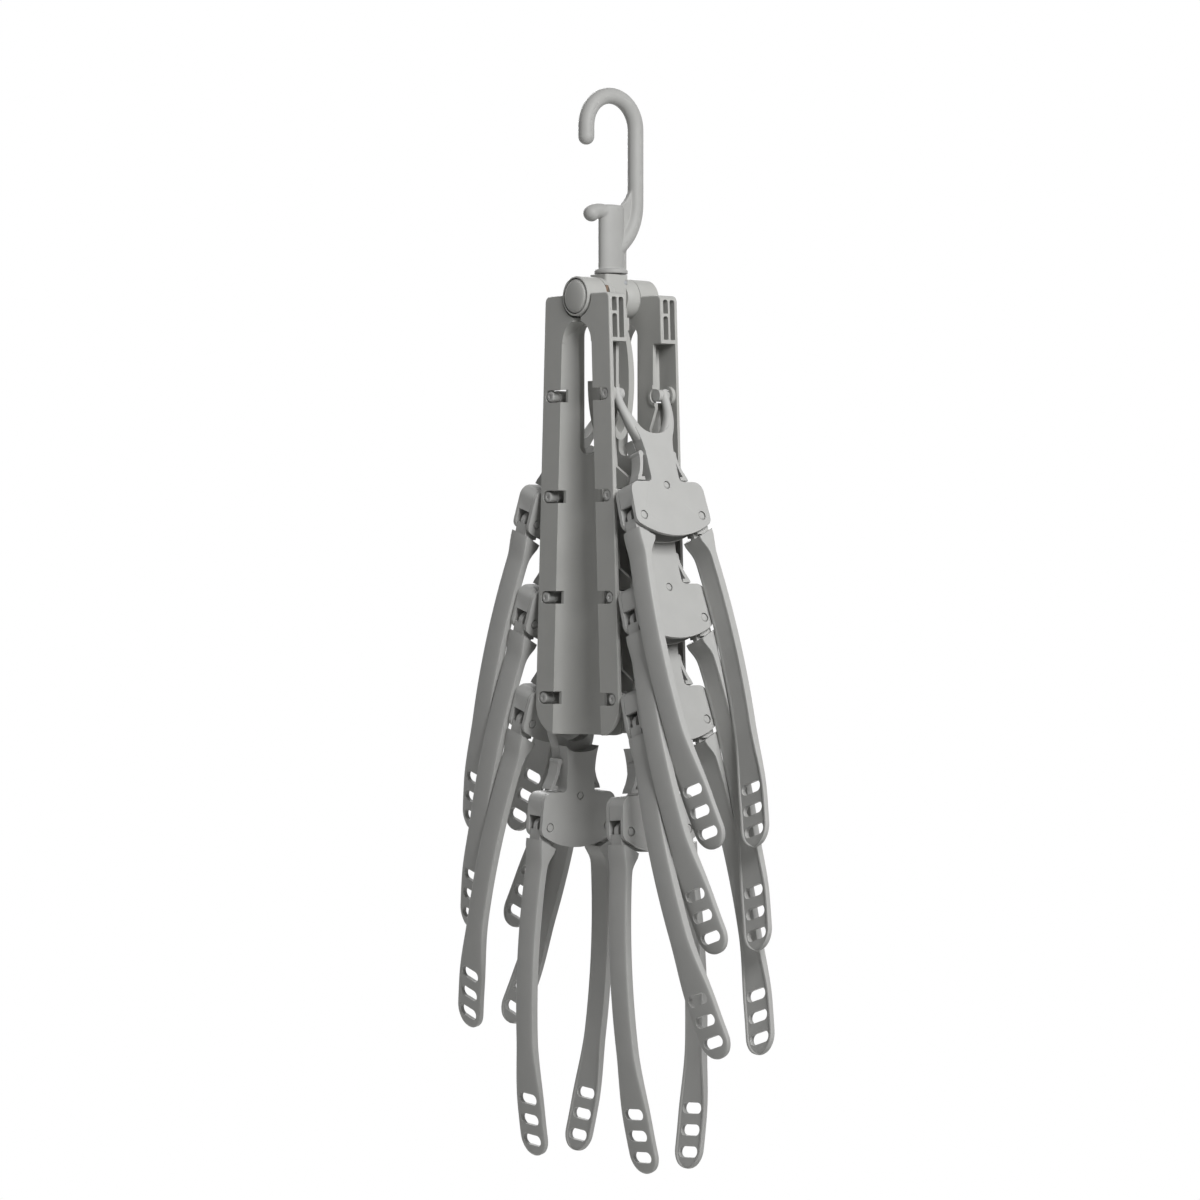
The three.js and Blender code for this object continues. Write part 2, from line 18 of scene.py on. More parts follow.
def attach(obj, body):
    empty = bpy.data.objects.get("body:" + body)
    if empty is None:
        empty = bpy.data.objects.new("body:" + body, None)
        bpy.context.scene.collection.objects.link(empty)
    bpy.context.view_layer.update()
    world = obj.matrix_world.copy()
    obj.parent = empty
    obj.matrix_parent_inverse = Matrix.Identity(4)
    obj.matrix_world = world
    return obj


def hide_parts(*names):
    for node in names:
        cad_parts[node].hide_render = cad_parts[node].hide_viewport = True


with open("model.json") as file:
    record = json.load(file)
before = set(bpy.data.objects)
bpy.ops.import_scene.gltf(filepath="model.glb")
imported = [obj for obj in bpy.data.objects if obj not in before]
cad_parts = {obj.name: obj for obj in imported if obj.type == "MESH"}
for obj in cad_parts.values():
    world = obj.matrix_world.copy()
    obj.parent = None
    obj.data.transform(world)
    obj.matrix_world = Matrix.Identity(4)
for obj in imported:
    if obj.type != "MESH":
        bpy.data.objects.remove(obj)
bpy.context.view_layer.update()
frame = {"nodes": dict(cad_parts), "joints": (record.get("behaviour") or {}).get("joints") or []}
joints = {joint["name"]: joint for joint in frame["joints"]}

# %% [markdown]
# ## Outlines
#
# Moulded parts are mostly flat outlines made thick. An outline here is a list of points in
# millimetres. Corners get arcs and bends get curves, so only the corners are written down.
# Curve objects could do this too, but plain points are easier to cut and join later.

# %% Outline helpers
MM = 0.001


def angles(start, end, steps):
    """Even steps from one angle in degrees to another, in radians."""
    return [math.radians(start + (end - start) * k / steps) for k in range(steps + 1)]


def arc(centre, radius, start, end, steps=12, radius_b=None):
    """Points on a round or oval arc, from one angle to another in degrees."""
    tall = radius if radius_b is None else radius_b
    return [(centre[0] + radius * math.cos(t), centre[1] + tall * math.sin(t))
            for t in angles(start, end, steps)]


def circle(centre, radius, sides, radius_b=None):
    """The points of a whole circle or oval."""
    return arc(centre, radius, 0, 360, sides, radius_b)[:-1]


def bend(start, via, end, steps=10):
    """Points on a curve from start to end that leans towards the point via."""
    points = []
    for k in range(steps + 1):
        t = k / steps
        weights = ((1 - t) ** 2, 2 * t * (1 - t), t * t)
        points.append(tuple(sum(w * p[i] for w, p in zip(weights, (start, via, end))) for i in (0, 1)))
    return points


def rounded(corners, steps=8):
    """An outline through corners (a, b, radius), with an arc at each corner that has a radius."""
    points = []
    for k, (a, b, radius) in enumerate(corners):
        here = Vector((a, b))
        if radius == 0:
            points.append((a, b))
            continue
        back = (Vector(corners[k - 1][:2]) - here).normalized()
        ahead = (Vector(corners[(k + 1) % len(corners)][:2]) - here).normalized()
        half = back.angle(ahead) / 2
        centre = here + (back + ahead).normalized() * radius / math.sin(half)
        first = (here + back * radius / math.tan(half) - centre).normalized()
        last = (here + ahead * radius / math.tan(half) - centre).normalized()
        points += [tuple(centre + first.slerp(last, s / steps) * radius) for s in range(steps + 1)]
    return points


def mirrored(points):
    """The points of a right-hand side, followed back along the left-hand side."""
    return points + [(-a, b) for a, b in reversed(points)]


def smooth_step(value, low, high):
    """0 below low, 1 above high, and an easy rise between."""
    t = min(1.0, max(0.0, (value - low) / (high - low)))
    return t * t * (3 - 2 * t)


print("corner test:", len(rounded([(0, 0, 1), (10, 0, 1), (10, 5, 0), (0, 5, 0)])), "points")

# %% [markdown]
# ## Solids, cuts and soft edges
#
# One skin function makes every solid: it joins rings of points and closes both ends.
# Boolean modifiers then cut and join the solids, as a mould maker's tools would.
# A bevel comes last, because a real moulding has no knife edge, and it is the bevel that
# catches the light. Weighted normals keep the large flats flat beside it.

# %% Solids from rings
NEEDLE_R = 0.02
LARGE, PLAIN, MEDIUM, SMALL, TINY = 72, 48, 40, 32, 24


def new_object(name, data):
    """An object in the scene that shows a mesh, a camera or a lamp."""
    made = bpy.data.objects.new(name, data)
    bpy.context.scene.collection.objects.link(made)
    return made


def working_solid(name, rings):
    """An object in millimetres with a closed skin through rings of equal point count."""
    bm = bmesh.new()
    rows = [[bm.verts.new(point) for point in ring] for ring in rings]
    for lower, upper in zip(rows, rows[1:]):
        for k in range(len(lower)):
            nxt = (k + 1) % len(lower)
            bm.faces.new((lower[k], lower[nxt], upper[nxt], upper[k]))
    bm.faces.new(rows[0])
    bm.faces.new(rows[-1])
    bmesh.ops.recalc_face_normals(bm, faces=bm.faces)
    mesh = bpy.data.meshes.new(name)
    bm.to_mesh(mesh)
    bm.free()
    return new_object(name, mesh)


def along(axis, distance, a, b):
    """A point at a distance along one axis; a and b are the other two axes in order."""
    return {"x": (distance, a, b), "y": (a, distance, b), "z": (a, b, distance)}[axis]


def slab(name, outline, axis, low, high):
    """An outline made thick along an axis."""
    return working_solid(name, [[along(axis, d, a, b) for a, b in outline] for d in (low, high)])


def turned(name, profile, axis, centre=(0, 0), sides=PLAIN):
    """A round piece from a profile of (radius, distance along the axis)."""
    rings = []
    for radius, distance in profile:
        ring = circle(centre, max(radius, NEEDLE_R), sides)
        rings.append([along(axis, distance, a, b) for a, b in ring])
    return working_solid(name, rings)


def rod(name, radius, axis, low, high, centre, sides=PLAIN):
    """A plain round bar."""
    return turned(name, [(radius, low), (radius, high)], axis, centre, sides)


def block(name, x, y, z):
    """A plain box from three (low, high) pairs."""
    return slab(name, [(x[0], y[0]), (x[1], y[0]), (x[1], y[1]), (x[0], y[1])], "z", *z)


print("flat sides of a round piece, from large to tiny:", LARGE, PLAIN, MEDIUM, SMALL, TINY)

# %% Cuts and joins
PAST, JUST_PAST, LAP, CHAMFER = 1, 0.2, 0.5, 0.5


def bake(solid):
    """Turns an object's modifiers into plain mesh."""
    depsgraph = bpy.context.evaluated_depsgraph_get()
    made = bpy.data.meshes.new_from_object(solid.evaluated_get(depsgraph))
    solid.modifiers.clear()
    old = solid.data
    solid.data = made
    bpy.data.meshes.remove(old)
    return solid


def combine(operation, solid, tools):
    """Joins tools to a solid or cuts them out of it, and removes the tools."""
    for tool in tools:
        step = solid.modifiers.new(operation.lower(), "BOOLEAN")
        step.operation = operation
        step.solver = "MANIFOLD"
        step.object = tool
    bake(solid)
    for tool in tools:
        bpy.data.meshes.remove(tool.data)
    return solid


def cut(solid, *tools):
    """Cuts every tool out of a solid."""
    return combine("DIFFERENCE", solid, tools)


def join(solid, *tools):
    """Makes a solid and its tools one."""
    return combine("UNION", solid, tools)


print("cutting tools run past the plastic by", PAST, "or", JUST_PAST, "mm")

# %% Soft edges and finished pieces
MERGE_MM = 0.004
FLAT_DEGREES, SHARP_DEGREES = 0.06, 45


def soften(solid, width, segments=3, angle=32):
    """Merges flat faces, rounds every sharp edge by the width in millimetres and smooths the shading."""
    bm = bmesh.new()
    bm.from_mesh(solid.data)
    bmesh.ops.remove_doubles(bm, verts=bm.verts, dist=MERGE_MM)
    bmesh.ops.dissolve_limit(bm, angle_limit=math.radians(FLAT_DEGREES), verts=bm.verts, edges=bm.edges)
    bm.to_mesh(solid.data)
    bm.free()
    edge = solid.modifiers.new("soft edges", "BEVEL")
    edge.width = width
    edge.segments = segments
    edge.limit_method = "ANGLE"
    edge.angle_limit = math.radians(angle)
    edge.use_clamp_overlap = True
    edge.miter_outer = "MITER_ARC"
    bake(solid)
    solid.data.shade_smooth()
    solid.data.set_sharp_from_angle(angle=math.radians(SHARP_DEGREES))
    flats = solid.modifiers.new("flat faces stay flat", "WEIGHTED_NORMAL")
    flats.keep_sharp = True
    bake(solid)
    return solid


def to_metres(solid):
    """A finished solid's mesh in metres; the working object is removed."""
    mesh = solid.data
    mesh.transform(Matrix.Scale(MM, 4))
    bpy.data.objects.remove(solid)
    return mesh


def piece(name, mesh, body, node, material, place=Matrix.Identity(4)):
    """A finished piece: it stands for a node of the frame and rides on that node's body."""
    made = new_object(name, mesh)
    made.matrix_world = place
    mesh.materials.clear()
    mesh.materials.append(material)
    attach(made, body)
    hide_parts(node)
    return made


print("points closer than", MERGE_MM, "mm become one")

# %% [markdown]
# ## The plastic
#
# Every moulding is polypropylene, coloured through in a warm mid grey. It comes out of a
# spark-eroded mould, which leaves a fine satin grain, and the melt leaves faint clouds where it
# flowed. The grain is under half a millimetre, too fine for this picture, so it is drawn at 1.1 mm.
# One function makes the three greys; only their colours differ.

# %% Colour and node helpers
def linear(hex_colour):
    """An sRGB hex colour as linear red, green, blue and alpha."""
    parts = [int(hex_colour[k:k + 2], 16) / 255 for k in (1, 3, 5)]
    return (*[c / 12.92 if c <= 0.04045 else ((c + 0.055) / 1.055) ** 2.4 for c in parts], 1.0)


def add_node(tree, kind, settings=None, inputs=None):
    """A node with its settings; an input is a value, or a socket to link from."""
    node = tree.nodes.new(kind)
    for key, value in (settings or {}).items():
        setattr(node, key, value)
    for key, value in (inputs or {}).items():
        if isinstance(value, bpy.types.NodeSocket):
            tree.links.new(value, node.inputs[key])
        else:
            node.inputs[key].default_value = value
    return node


def new_material(name):
    """An empty node material and its tree."""
    material = bpy.data.materials.new(name)
    material.use_nodes = True
    material.node_tree.nodes.clear()
    return material, material.node_tree


print("mid grey in linear light:", round(linear("#ADADAB")[0], 3))

# %% Moulded polypropylene
FLOW_MM, SCUFF_MM = 14.0, 5.0
GRAIN_MM, GRAIN_DEEP_MM = 1.1, 0.06
SATIN_LOW, SATIN_HIGH = 0.44, 0.56
NOISE_LOW, NOISE_HIGH = 0.3, 0.7


def moulded_polypropylene(name, colour, cloud):
    """Satin plastic: soft broad highlights, faint clouds of flow, and a fine grain."""
    material, tree = new_material(name)
    where = add_node(tree, "ShaderNodeTexCoord").outputs["Object"]
    flow = add_node(tree, "ShaderNodeTexNoise", inputs={
        "Vector": where, "Scale": 1 / (FLOW_MM * MM), "Detail": 3.0, "Roughness": 0.55})
    grain = add_node(tree, "ShaderNodeTexNoise", inputs={
        "Vector": where, "Scale": 1 / (GRAIN_MM * MM), "Detail": 2.0, "Roughness": 0.6})
    scuff = add_node(tree, "ShaderNodeTexNoise", inputs={
        "Vector": where, "Scale": 1 / (SCUFF_MM * MM), "Detail": 4.0, "Roughness": 0.65})
    tint = add_node(tree, "ShaderNodeValToRGB", inputs={"Fac": flow.outputs["Fac"]})
    for stop, position, hue in zip(tint.color_ramp.elements, (NOISE_LOW, NOISE_HIGH), (colour, cloud)):
        stop.position = position
        stop.color = linear(hue)
    shine = add_node(tree, "ShaderNodeMapRange", inputs={
        "Value": scuff.outputs["Fac"], "From Min": NOISE_LOW, "From Max": NOISE_HIGH,
        "To Min": SATIN_LOW, "To Max": SATIN_HIGH})
    bump = add_node(tree, "ShaderNodeBump", inputs={
        "Height": grain.outputs["Fac"], "Strength": 0.12, "Distance": GRAIN_DEEP_MM * MM})
    plastic = add_node(tree, "ShaderNodeBsdfPrincipled", inputs={
        "Base Color": tint.outputs["Color"], "Roughness": shine.outputs["Result"],
        "Normal": bump.outputs["Normal"], "Specular IOR Level": 0.22})
    add_node(tree, "ShaderNodeOutputMaterial", inputs={"Surface": plastic.outputs["BSDF"]})
    return material


hook_grey = moulded_polypropylene("moulded polypropylene, hook grey", "#9E9E9C", "#A2A2A0")
frame_grey = moulded_polypropylene("moulded polypropylene, frame grey", "#A8A8A5", "#ACACA9")
hanger_grey = moulded_polypropylene("moulded polypropylene, hanger grey", "#ADADAB", "#B1B1AF")
print("plastics:", hook_grey.name, frame_grey.name, hanger_grey.name)

# %% [markdown]
# ## The two metals
#
# The pins inside are drawn steel, and a small brass catch shows in a window of the hub.
# Drawn wire has fine lines along its length, so the steel's noise is stretched along the pin.
# The brass has gone dull and brown, so it is rougher and its colour is uneven.

# %% Drawn steel and dull brass
TARNISH_DEEP_MM = 0.03
ROUGH_SPREAD = 0.1


def worn_metal(name, colour, stain, spot_mm, stretch, roughness):
    """Metal with uneven tarnish; stretch pulls the noise into lines along the X axis."""
    material, tree = new_material(name)
    where = add_node(tree, "ShaderNodeTexCoord").outputs["Object"]
    drawn = add_node(tree, "ShaderNodeMapping", inputs={"Vector": where, "Scale": (1 / stretch, 1.0, 1.0)})
    spots = add_node(tree, "ShaderNodeTexNoise", inputs={
        "Vector": drawn.outputs["Vector"], "Scale": 1 / (spot_mm * MM), "Detail": 4.0, "Roughness": 0.6})
    tint = add_node(tree, "ShaderNodeValToRGB", inputs={"Fac": spots.outputs["Fac"]})
    for stop, position, hue in zip(tint.color_ramp.elements, (NOISE_LOW, NOISE_HIGH), (stain, colour)):
        stop.position = position
        stop.color = linear(hue)
    shine = add_node(tree, "ShaderNodeMapRange", inputs={
        "Value": spots.outputs["Fac"],
        "To Min": roughness + ROUGH_SPREAD, "To Max": roughness - ROUGH_SPREAD})
    bump = add_node(tree, "ShaderNodeBump", inputs={
        "Height": spots.outputs["Fac"], "Strength": 0.2, "Distance": TARNISH_DEEP_MM * MM})
    metal = add_node(tree, "ShaderNodeBsdfPrincipled", inputs={
        "Base Color": tint.outputs["Color"], "Roughness": shine.outputs["Result"],
        "Normal": bump.outputs["Normal"], "Metallic": 1.0})
    add_node(tree, "ShaderNodeOutputMaterial", inputs={"Surface": metal.outputs["BSDF"]})
    return material


drawn_steel = worn_metal("drawn steel", "#B4B6B8", "#9FA1A3", spot_mm=0.6, stretch=12.0, roughness=0.35)
dull_brass = worn_metal("dull brass", "#917F70", "#78675A", spot_mm=1.2, stretch=1.0, roughness=0.5)
metals = {"axle": drawn_steel, "swivel_dowel": drawn_steel, "detent_insert": dull_brass}
for node, metal in metals.items():
    frame["nodes"][node].data.materials.clear()
    frame["nodes"][node].data.materials.append(metal)
print("metals on:", *metals)

# %% [markdown]
# ## The hook
#
# The hook is a round bar bent into a crook, in one moulding with a flat web, an oval stem, a
# drooping peg and a flange. Where they meet, the mould has generous fillets. Bevelling boolean
# joints rarely gives such fillets, so the parts are overlapped, remeshed into one skin of small
# squares, and smoothed until the joints flow.

# %% Hook bar
WIRE_R = 4.5
CROOK_R, CROOK_Z, TIP_Z = 18.0, -13.5, -19.5
LEG_STEP, LEG_RINGS = 4.0, 9
FOOT_TOP, FOOT_TURN, FOOT_END = -54, -71, (3, -81)


def bar(name, route, radii, sides=TINY):
    """A round bar in the XZ plane along a route, with a radius at each point."""
    rings = []
    for k, ((x, z), radius) in enumerate(zip(route, radii)):
        before, after = route[max(k - 1, 0)], route[min(k + 1, len(route) - 1)]
        way = Vector((after[0] - before[0], after[1] - before[1])).normalized()
        rings.append([(x - way.y * a, b, z + way.x * a) for a, b in circle((0, 0), radius, sides)])
    return working_solid(name, rings)


def hook_wire():
    """The bar from its domed tip over the crook and down the leg, to a foot that runs into the stem."""
    dome = angles(0, 90, 8)[1:-1]
    tip = [(-CROOK_R, TIP_Z - WIRE_R * math.cos(t)) for t in dome]
    crook = arc((0, CROOK_Z), CROOK_R, 180, 0, 40)
    leg = [(CROOK_R, CROOK_Z - LEG_STEP * k) for k in range(1, LEG_RINGS + 1)]
    foot = bend((CROOK_R, FOOT_TOP), (CROOK_R, FOOT_TURN), FOOT_END, 16)
    route = tip + [(-CROOK_R, TIP_Z)] + crook + leg + foot
    radii = [WIRE_R * math.sin(t) for t in dome]
    radii += [WIRE_R] * (len(route) - len(radii))
    return bar("wire", route, radii)


print("crook inside in mm:", 2 * (CROOK_R - WIRE_R))

# %% Hook stem, web and flange
STEM_X, STEM_Y = 8.25, 5.0
STEM_TOP, STEM_BOTTOM = -56.0, -92.4
WEB_HALF = 1.6
SPINE_IN, SPINE_OUT, SPINE_HALF, SPINE_TOP = 4, 10.4, 1.5, -62
FLANGE_R, FLANGE_TOP_R, FLANGE_BOTTOM = 9.3, 8.6, -94.6
FLANGE_LIP, FLANGE_SLOPE = 0.4, 0.3
SWIVEL_R, SWIVEL_BOTTOM = 4.5, -102.7


def hook_stem():
    """The oval stem; each ring has a share of the full size and a depth below the crowned top."""
    crown = [(0.3, 0.0), (0.75, -0.25), (0.92, -0.8), (1.0, -1.8)]
    rings = []
    for size, depth in crown + [(1.0, STEM_BOTTOM - STEM_TOP)]:
        oval = circle((0, 0), STEM_X * size, 40, STEM_Y * size)
        rings.append([(a, b, STEM_TOP + depth) for a, b in oval])
    return working_solid("stem", rings)


def hook_web():
    """The thin web in the corner between the leg and the stem."""
    outside = [(4, -80), (15, -68), (18, -41)]
    inside = bend((15.5, -41), (12.5, -54), (4, -57.5))
    return slab("web", outside + inside, "y", -WEB_HALF, WEB_HALF)


def hook_flange():
    """The round flange under the stem, and the swivel pin below it."""
    top = STEM_BOTTOM + FLANGE_LIP
    profile = [(0, top), (FLANGE_TOP_R, top), (FLANGE_R, STEM_BOTTOM - FLANGE_SLOPE),
               (FLANGE_R, FLANGE_BOTTOM), (SWIVEL_R, FLANGE_BOTTOM),
               (SWIVEL_R, SWIVEL_BOTTOM), (0, SWIVEL_BOTTOM)]
    return turned("flange", profile, "z")


print("stem in mm:", 2 * STEM_X, "by", 2 * STEM_Y)

# %% Hook peg and the whole hook
PEG_ROOT, PEG_TURN, PEG_TIP = (-1, -60.6), (-11, -58.9), (-14.6, -61.9)
PEG_R, PEG_GROWTH, PEG_STEPS = 3.9, 0.055, 12
KNOB_R, KNOB_LONG, KNOB_X, KNOB_Z = 4.55, 4.2, 0.75, 0.6
HOOK_VOXEL, FILLET_PASSES = 0.42, 4


def hook_peg():
    """The drooping peg, which thickens towards a domed end."""
    route = bend(PEG_ROOT, PEG_TURN, PEG_TIP, PEG_STEPS)
    radii = [PEG_R + PEG_GROWTH * k for k in range(PEG_STEPS + 1)]
    for t in angles(0, 90, 6)[1:-1]:
        reach = KNOB_LONG * math.sin(t)
        route.append((PEG_TIP[0] - reach * KNOB_X, PEG_TIP[1] - reach * KNOB_Z))
        radii.append(KNOB_R * math.cos(t))
    return bar("peg", route, radii)


def hook_mesh():
    """All parts of the hook in one skin, with flowing fillets."""
    spine = block("spine", (SPINE_IN, SPINE_OUT), (-SPINE_HALF, SPINE_HALF), (STEM_BOTTOM, SPINE_TOP))
    hook = join(hook_wire(), hook_stem(), hook_web(), spine, hook_peg(), hook_flange())
    squares = hook.modifiers.new("one skin", "REMESH")
    squares.mode = "VOXEL"
    squares.voxel_size = HOOK_VOXEL
    flow = hook.modifiers.new("fillets", "SMOOTH")
    flow.factor = 0.5
    flow.iterations = FILLET_PASSES
    bake(hook)
    hook.data.shade_smooth()
    return to_metres(hook)


hook = piece("hook_moulding", hook_mesh(), "hook", "main_hook", hook_grey)
print("hook faces:", len(hook.data.polygons))

# %% [markdown]
# ## The hub
#
# The hub is a small block with a round boss on each side for the axle, and a wide band under it
# that curls into a second hook. A band is easiest as an oval outline made thick across.
# The blocks are joined first, so one bevel runs round all of them, and the holes are cut after it.

# %% Hub
AXLE_R, AXLE_Z = 4.0, -108.0
FIT = 0.3
HUB_X, HUB_Y, HUB_REAR, HUB_CORNER = 9.7, 7.5, 6.6, 2
HUB_TOP, HUB_BOTTOM = -95.2, -120.0
HUB_SOFT, HOLE_SOFT = 0.7, 0.25
BOSS_R, BOSS_X = 11.0, 12.0
BARREL = [(1.6, 4.5), (0.4, 7.0), (0.0, 9.2)]
BAND_X, BAND_Z, BAND_MIDDLE = 8.2, 31.0, -154.0
BAND_HALF, BAND_WIDTH, BAND_START = 2.0, 8.0, 80
BAND_ROOT_X, BAND_ROOT_LONG = (-1, 6.5), 6
DOWEL_HOLE, DOWEL_X, DOWEL_Z = 1.3, 4.5, -99.5
WINDOW_Y, WINDOW_Z = -7.8, (-106.2, -101.6)


def axle_boss(way):
    """A barrel round the axle; BARREL says how much slimmer it is at each distance from the middle."""
    swell = [(BOSS_R - less, way * x) for less, x in BARREL]
    profile = [(0, swell[0][1])] + swell + [(BOSS_R, way * BOSS_X), (0, way * BOSS_X)]
    return turned("boss", profile, "x", (0, AXLE_Z), LARGE)


def lower_hook():
    """The band that curls round under the hub and stops short of it on one side."""
    centre = (0, BAND_MIDDLE)
    outside = arc(centre, BAND_X + BAND_HALF, BAND_START, -180, 64, BAND_Z + BAND_HALF)
    inside = arc(centre, BAND_X - BAND_HALF, -180, BAND_START, 64, BAND_Z - BAND_HALF)
    return slab("band", outside + inside, "y", -BAND_WIDTH, BAND_WIDTH)


def hub_mesh():
    """The hub with its bosses, lower hook, bores and the window for the catch."""
    plan = [(HUB_REAR, -HUB_Y), (HUB_REAR, HUB_Y), (-HUB_X, HUB_Y), (-HUB_X, -HUB_Y)]
    hub = slab("hub", rounded([(a, b, HUB_CORNER) for a, b in plan]), "z", HUB_BOTTOM, HUB_TOP)
    root = block("root", BAND_ROOT_X, (-BAND_WIDTH, BAND_WIDTH),
                 (HUB_BOTTOM - BAND_ROOT_LONG, HUB_BOTTOM + PAST))
    join(hub, lower_hook(), root, axle_boss(-1), axle_boss(1))
    soften(hub, HUB_SOFT)
    cut(hub,
        rod("bore", AXLE_R + FIT, "x", -BOSS_X - PAST, BOSS_X + PAST, (0, AXLE_Z)),
        rod("swivel bore", SWIVEL_R + FIT, "z", SWIVEL_BOTTOM - 2 * FIT, HUB_TOP + PAST, (0, 0)),
        rod("dowel bore", DOWEL_HOLE, "y", -HUB_Y - PAST, HUB_Y + PAST, (DOWEL_X, DOWEL_Z)),
        block("window", (-BOSS_X - JUST_PAST, -HUB_X - JUST_PAST / 2),
              (-BOSS_R - JUST_PAST, WINDOW_Y), WINDOW_Z))
    return to_metres(soften(hub, HOLE_SOFT))


hub = piece("hub_moulding", hub_mesh(), "hub", "hub_block", frame_grey)
print("hub faces:", len(hub.data.polygons))

# %% [markdown]
# ## The cheeks
#
# A cheek is a long plate with a half-round groove down its outside. Its edges are hollowed into
# open channels, where the forks sit, and the top has ribbed cells that save plastic.
# It is cut from one block with a soft rim. The groove widens downwards, so its tool has a ring every
# few millimetres; a tool with only two rings would give long twisted faces that shade in stripes.
# One bevel runs at the very end. The front cheek is the same mesh turned round.

# %% Cheek outline and groove
CHEEK_IN, CHEEK_OUT = 12.5, 25.0
CHEEK_TOP, CHEEK_BOTTOM = -107.0, -350.0
HALF_WIDTH, SPREAD, LEVEL = 28, 0.0375, -130
FOOT_R, HORN_R, RIM_R = 17.0, 3.5, 0.8
GROOVE_DEPTH, GROOVE_TOP, FLAT_WIDTH = 10.8, -121.3, 15.5
GROOVE_HIGH, GROOVE_STEP = -100.0, 9.0
REACH = 40


def half_width(z):
    """Half the cheek's width, which grows downwards."""
    return HALF_WIDTH - SPREAD * (z - LEVEL)


def groove_half(z):
    """Half the groove's width, which leaves two flats of one width beside it."""
    return half_width(z) - FLAT_WIDTH


def cheek_block():
    """The cheek's outline made thick, with a rounded rim on both faces."""
    def outline(inset):
        top, low = half_width(CHEEK_TOP) - inset, half_width(CHEEK_BOTTOM) - inset
        head, base = CHEEK_TOP - inset, CHEEK_BOTTOM + inset
        horn, foot = HORN_R - inset, FOOT_R - inset
        return rounded([(-low, base, foot), (low, base, foot), (top, head, horn), (-top, head, horn)], 12)
    rim = [(RIM_R * (1 - math.sin(t)), RIM_R * (1 - math.cos(t))) for t in angles(0, 90, 4)]
    levels = [(CHEEK_IN + rise, inset) for rise, inset in reversed(rim)]
    levels += [(CHEEK_OUT - rise, inset) for rise, inset in rim]
    return working_solid("cheek", [[(x, a, b) for a, b in outline(inset)] for x, inset in levels])


def groove_tool(extra):
    """The half-round groove, wider by extra, with an arched top."""
    def ring(z):
        wide, deep, mouth = groove_half(z) + extra, GROOVE_DEPTH + extra, CHEEK_OUT + 2 * PAST
        sweep = [(CHEEK_OUT - deep * math.sin(t), wide * math.cos(t), z) for t in angles(0, 180, 40)]
        return sweep + [(mouth, -wide, z), (mouth, wide, z)]
    top, low = GROOVE_HIGH, CHEEK_BOTTOM - 2 * PAST
    count = round((top - low) / GROOVE_STEP)
    groove = working_solid("groove", [ring(top + (low - top) * k / count) for k in range(count + 1)])
    arch = groove_half(GROOVE_TOP) + extra
    spring = GROOVE_TOP - arch
    limit = [(-REACH, low + PAST), (REACH, low + PAST), (REACH, spring)]
    limit += arc((0, spring), arch, 0, 180, 40, arch + extra) + [(-REACH, spring)]
    return combine("INTERSECT", groove, [slab("limit", limit, "x", 0, REACH)])


print("groove half widths in mm:", [round(groove_half(z), 1) for z in (GROOVE_TOP, CHEEK_BOTTOM)])

# %% Cheek cells and pin seats
WALL, FLANGE = 2.2, 2.0
CELL_TOP, CELL_SPLIT, CELL_BOTTOM, CELL_DEEP = -109.5, -118.0, -131.8, 10.0
CELL_RIB, CELL_LOW_R, CELL_TOP_R = 0.7, 0.4, 1.4
PIN_R, PIN_HOLE, BOSS_PIN_R, BOSS_HOLE = 3.0, 3.5, 3.4, 4.2
SEAT_R, SEAT_PROUD, COLLAR_R, COLLAR_LONG = 6.1, 0.5, 5.2, 2.2
WINDOW_DEEP, WINDOW_LAP = 4.5, 2
PIN_ROWS = [joints[f"right_hanger_{row}_swing"]["pos_m"] for row in (1, 2, 3, 4)]
PINS = [(-y / MM, z / MM) for x, y, z in PIN_ROWS]


def cell_tools(side):
    """The hollow cells in a cheek's side; a cross rib divides the column that shows on the left."""
    floor, roof = CHEEK_IN + FLANGE, CHEEK_OUT - WALL
    middle = (floor + roof) / 2
    near, far = half_width(CELL_TOP) - CELL_DEEP, half_width(CELL_BOTTOM) + PAST
    low, high = sorted((side * near, side * far))
    inner, outer = (floor, middle - CELL_RIB), (middle + CELL_RIB, roof)
    split, whole = (outer, inner) if side > 0 else (inner, outer)
    cells = [(*split, CELL_SPLIT + CELL_RIB, CELL_TOP), (*split, CELL_BOTTOM, CELL_SPLIT - CELL_RIB),
             (*whole, CELL_BOTTOM, CELL_TOP)]
    tools = []
    for x0, x1, z0, z1 in cells:
        corners = [(x0, z0, CELL_LOW_R), (x1, z0, CELL_LOW_R), (x1, z1, CELL_TOP_R), (x0, z1, CELL_TOP_R)]
        tools.append(slab("cell", rounded(corners, 5), "y", low, high))
    return tools


def pin_seats(y, z, side):
    """A raised ring round the pin on the inner flange, and a collar on the inside of the outer wall."""
    inside = CHEEK_OUT - WALL
    return [
        rod("seat ring", SEAT_R, "x", CHEEK_IN - SEAT_PROUD, CHEEK_IN + FLANGE, (side * y, z), MEDIUM),
        rod("collar", COLLAR_R, "x", inside - COLLAR_LONG, inside + LAP, (side * y, z), MEDIUM)]


def pin_tools(y, z, side):
    """A pin's hole and window in the outer wall, and the hole for its boss in the inner flange."""
    window = sorted((side * (groove_half(z) - WINDOW_LAP), side * y))
    low, high, pin = CHEEK_OUT - WALL - 3 * PAST, CHEEK_OUT + PAST, (side * y, z)
    return [
        rod("pin hole", PIN_HOLE, "x", low, high, pin, SMALL),
        block("pin window", (CHEEK_OUT - WINDOW_DEEP, high), window, (z - PIN_HOLE, z + PIN_HOLE)),
        rod("boss hole", BOSS_HOLE, "x", CHEEK_IN - PAST, CHEEK_IN + FLANGE + LAP, pin, SMALL)]


print("pins per side:", len(PINS))

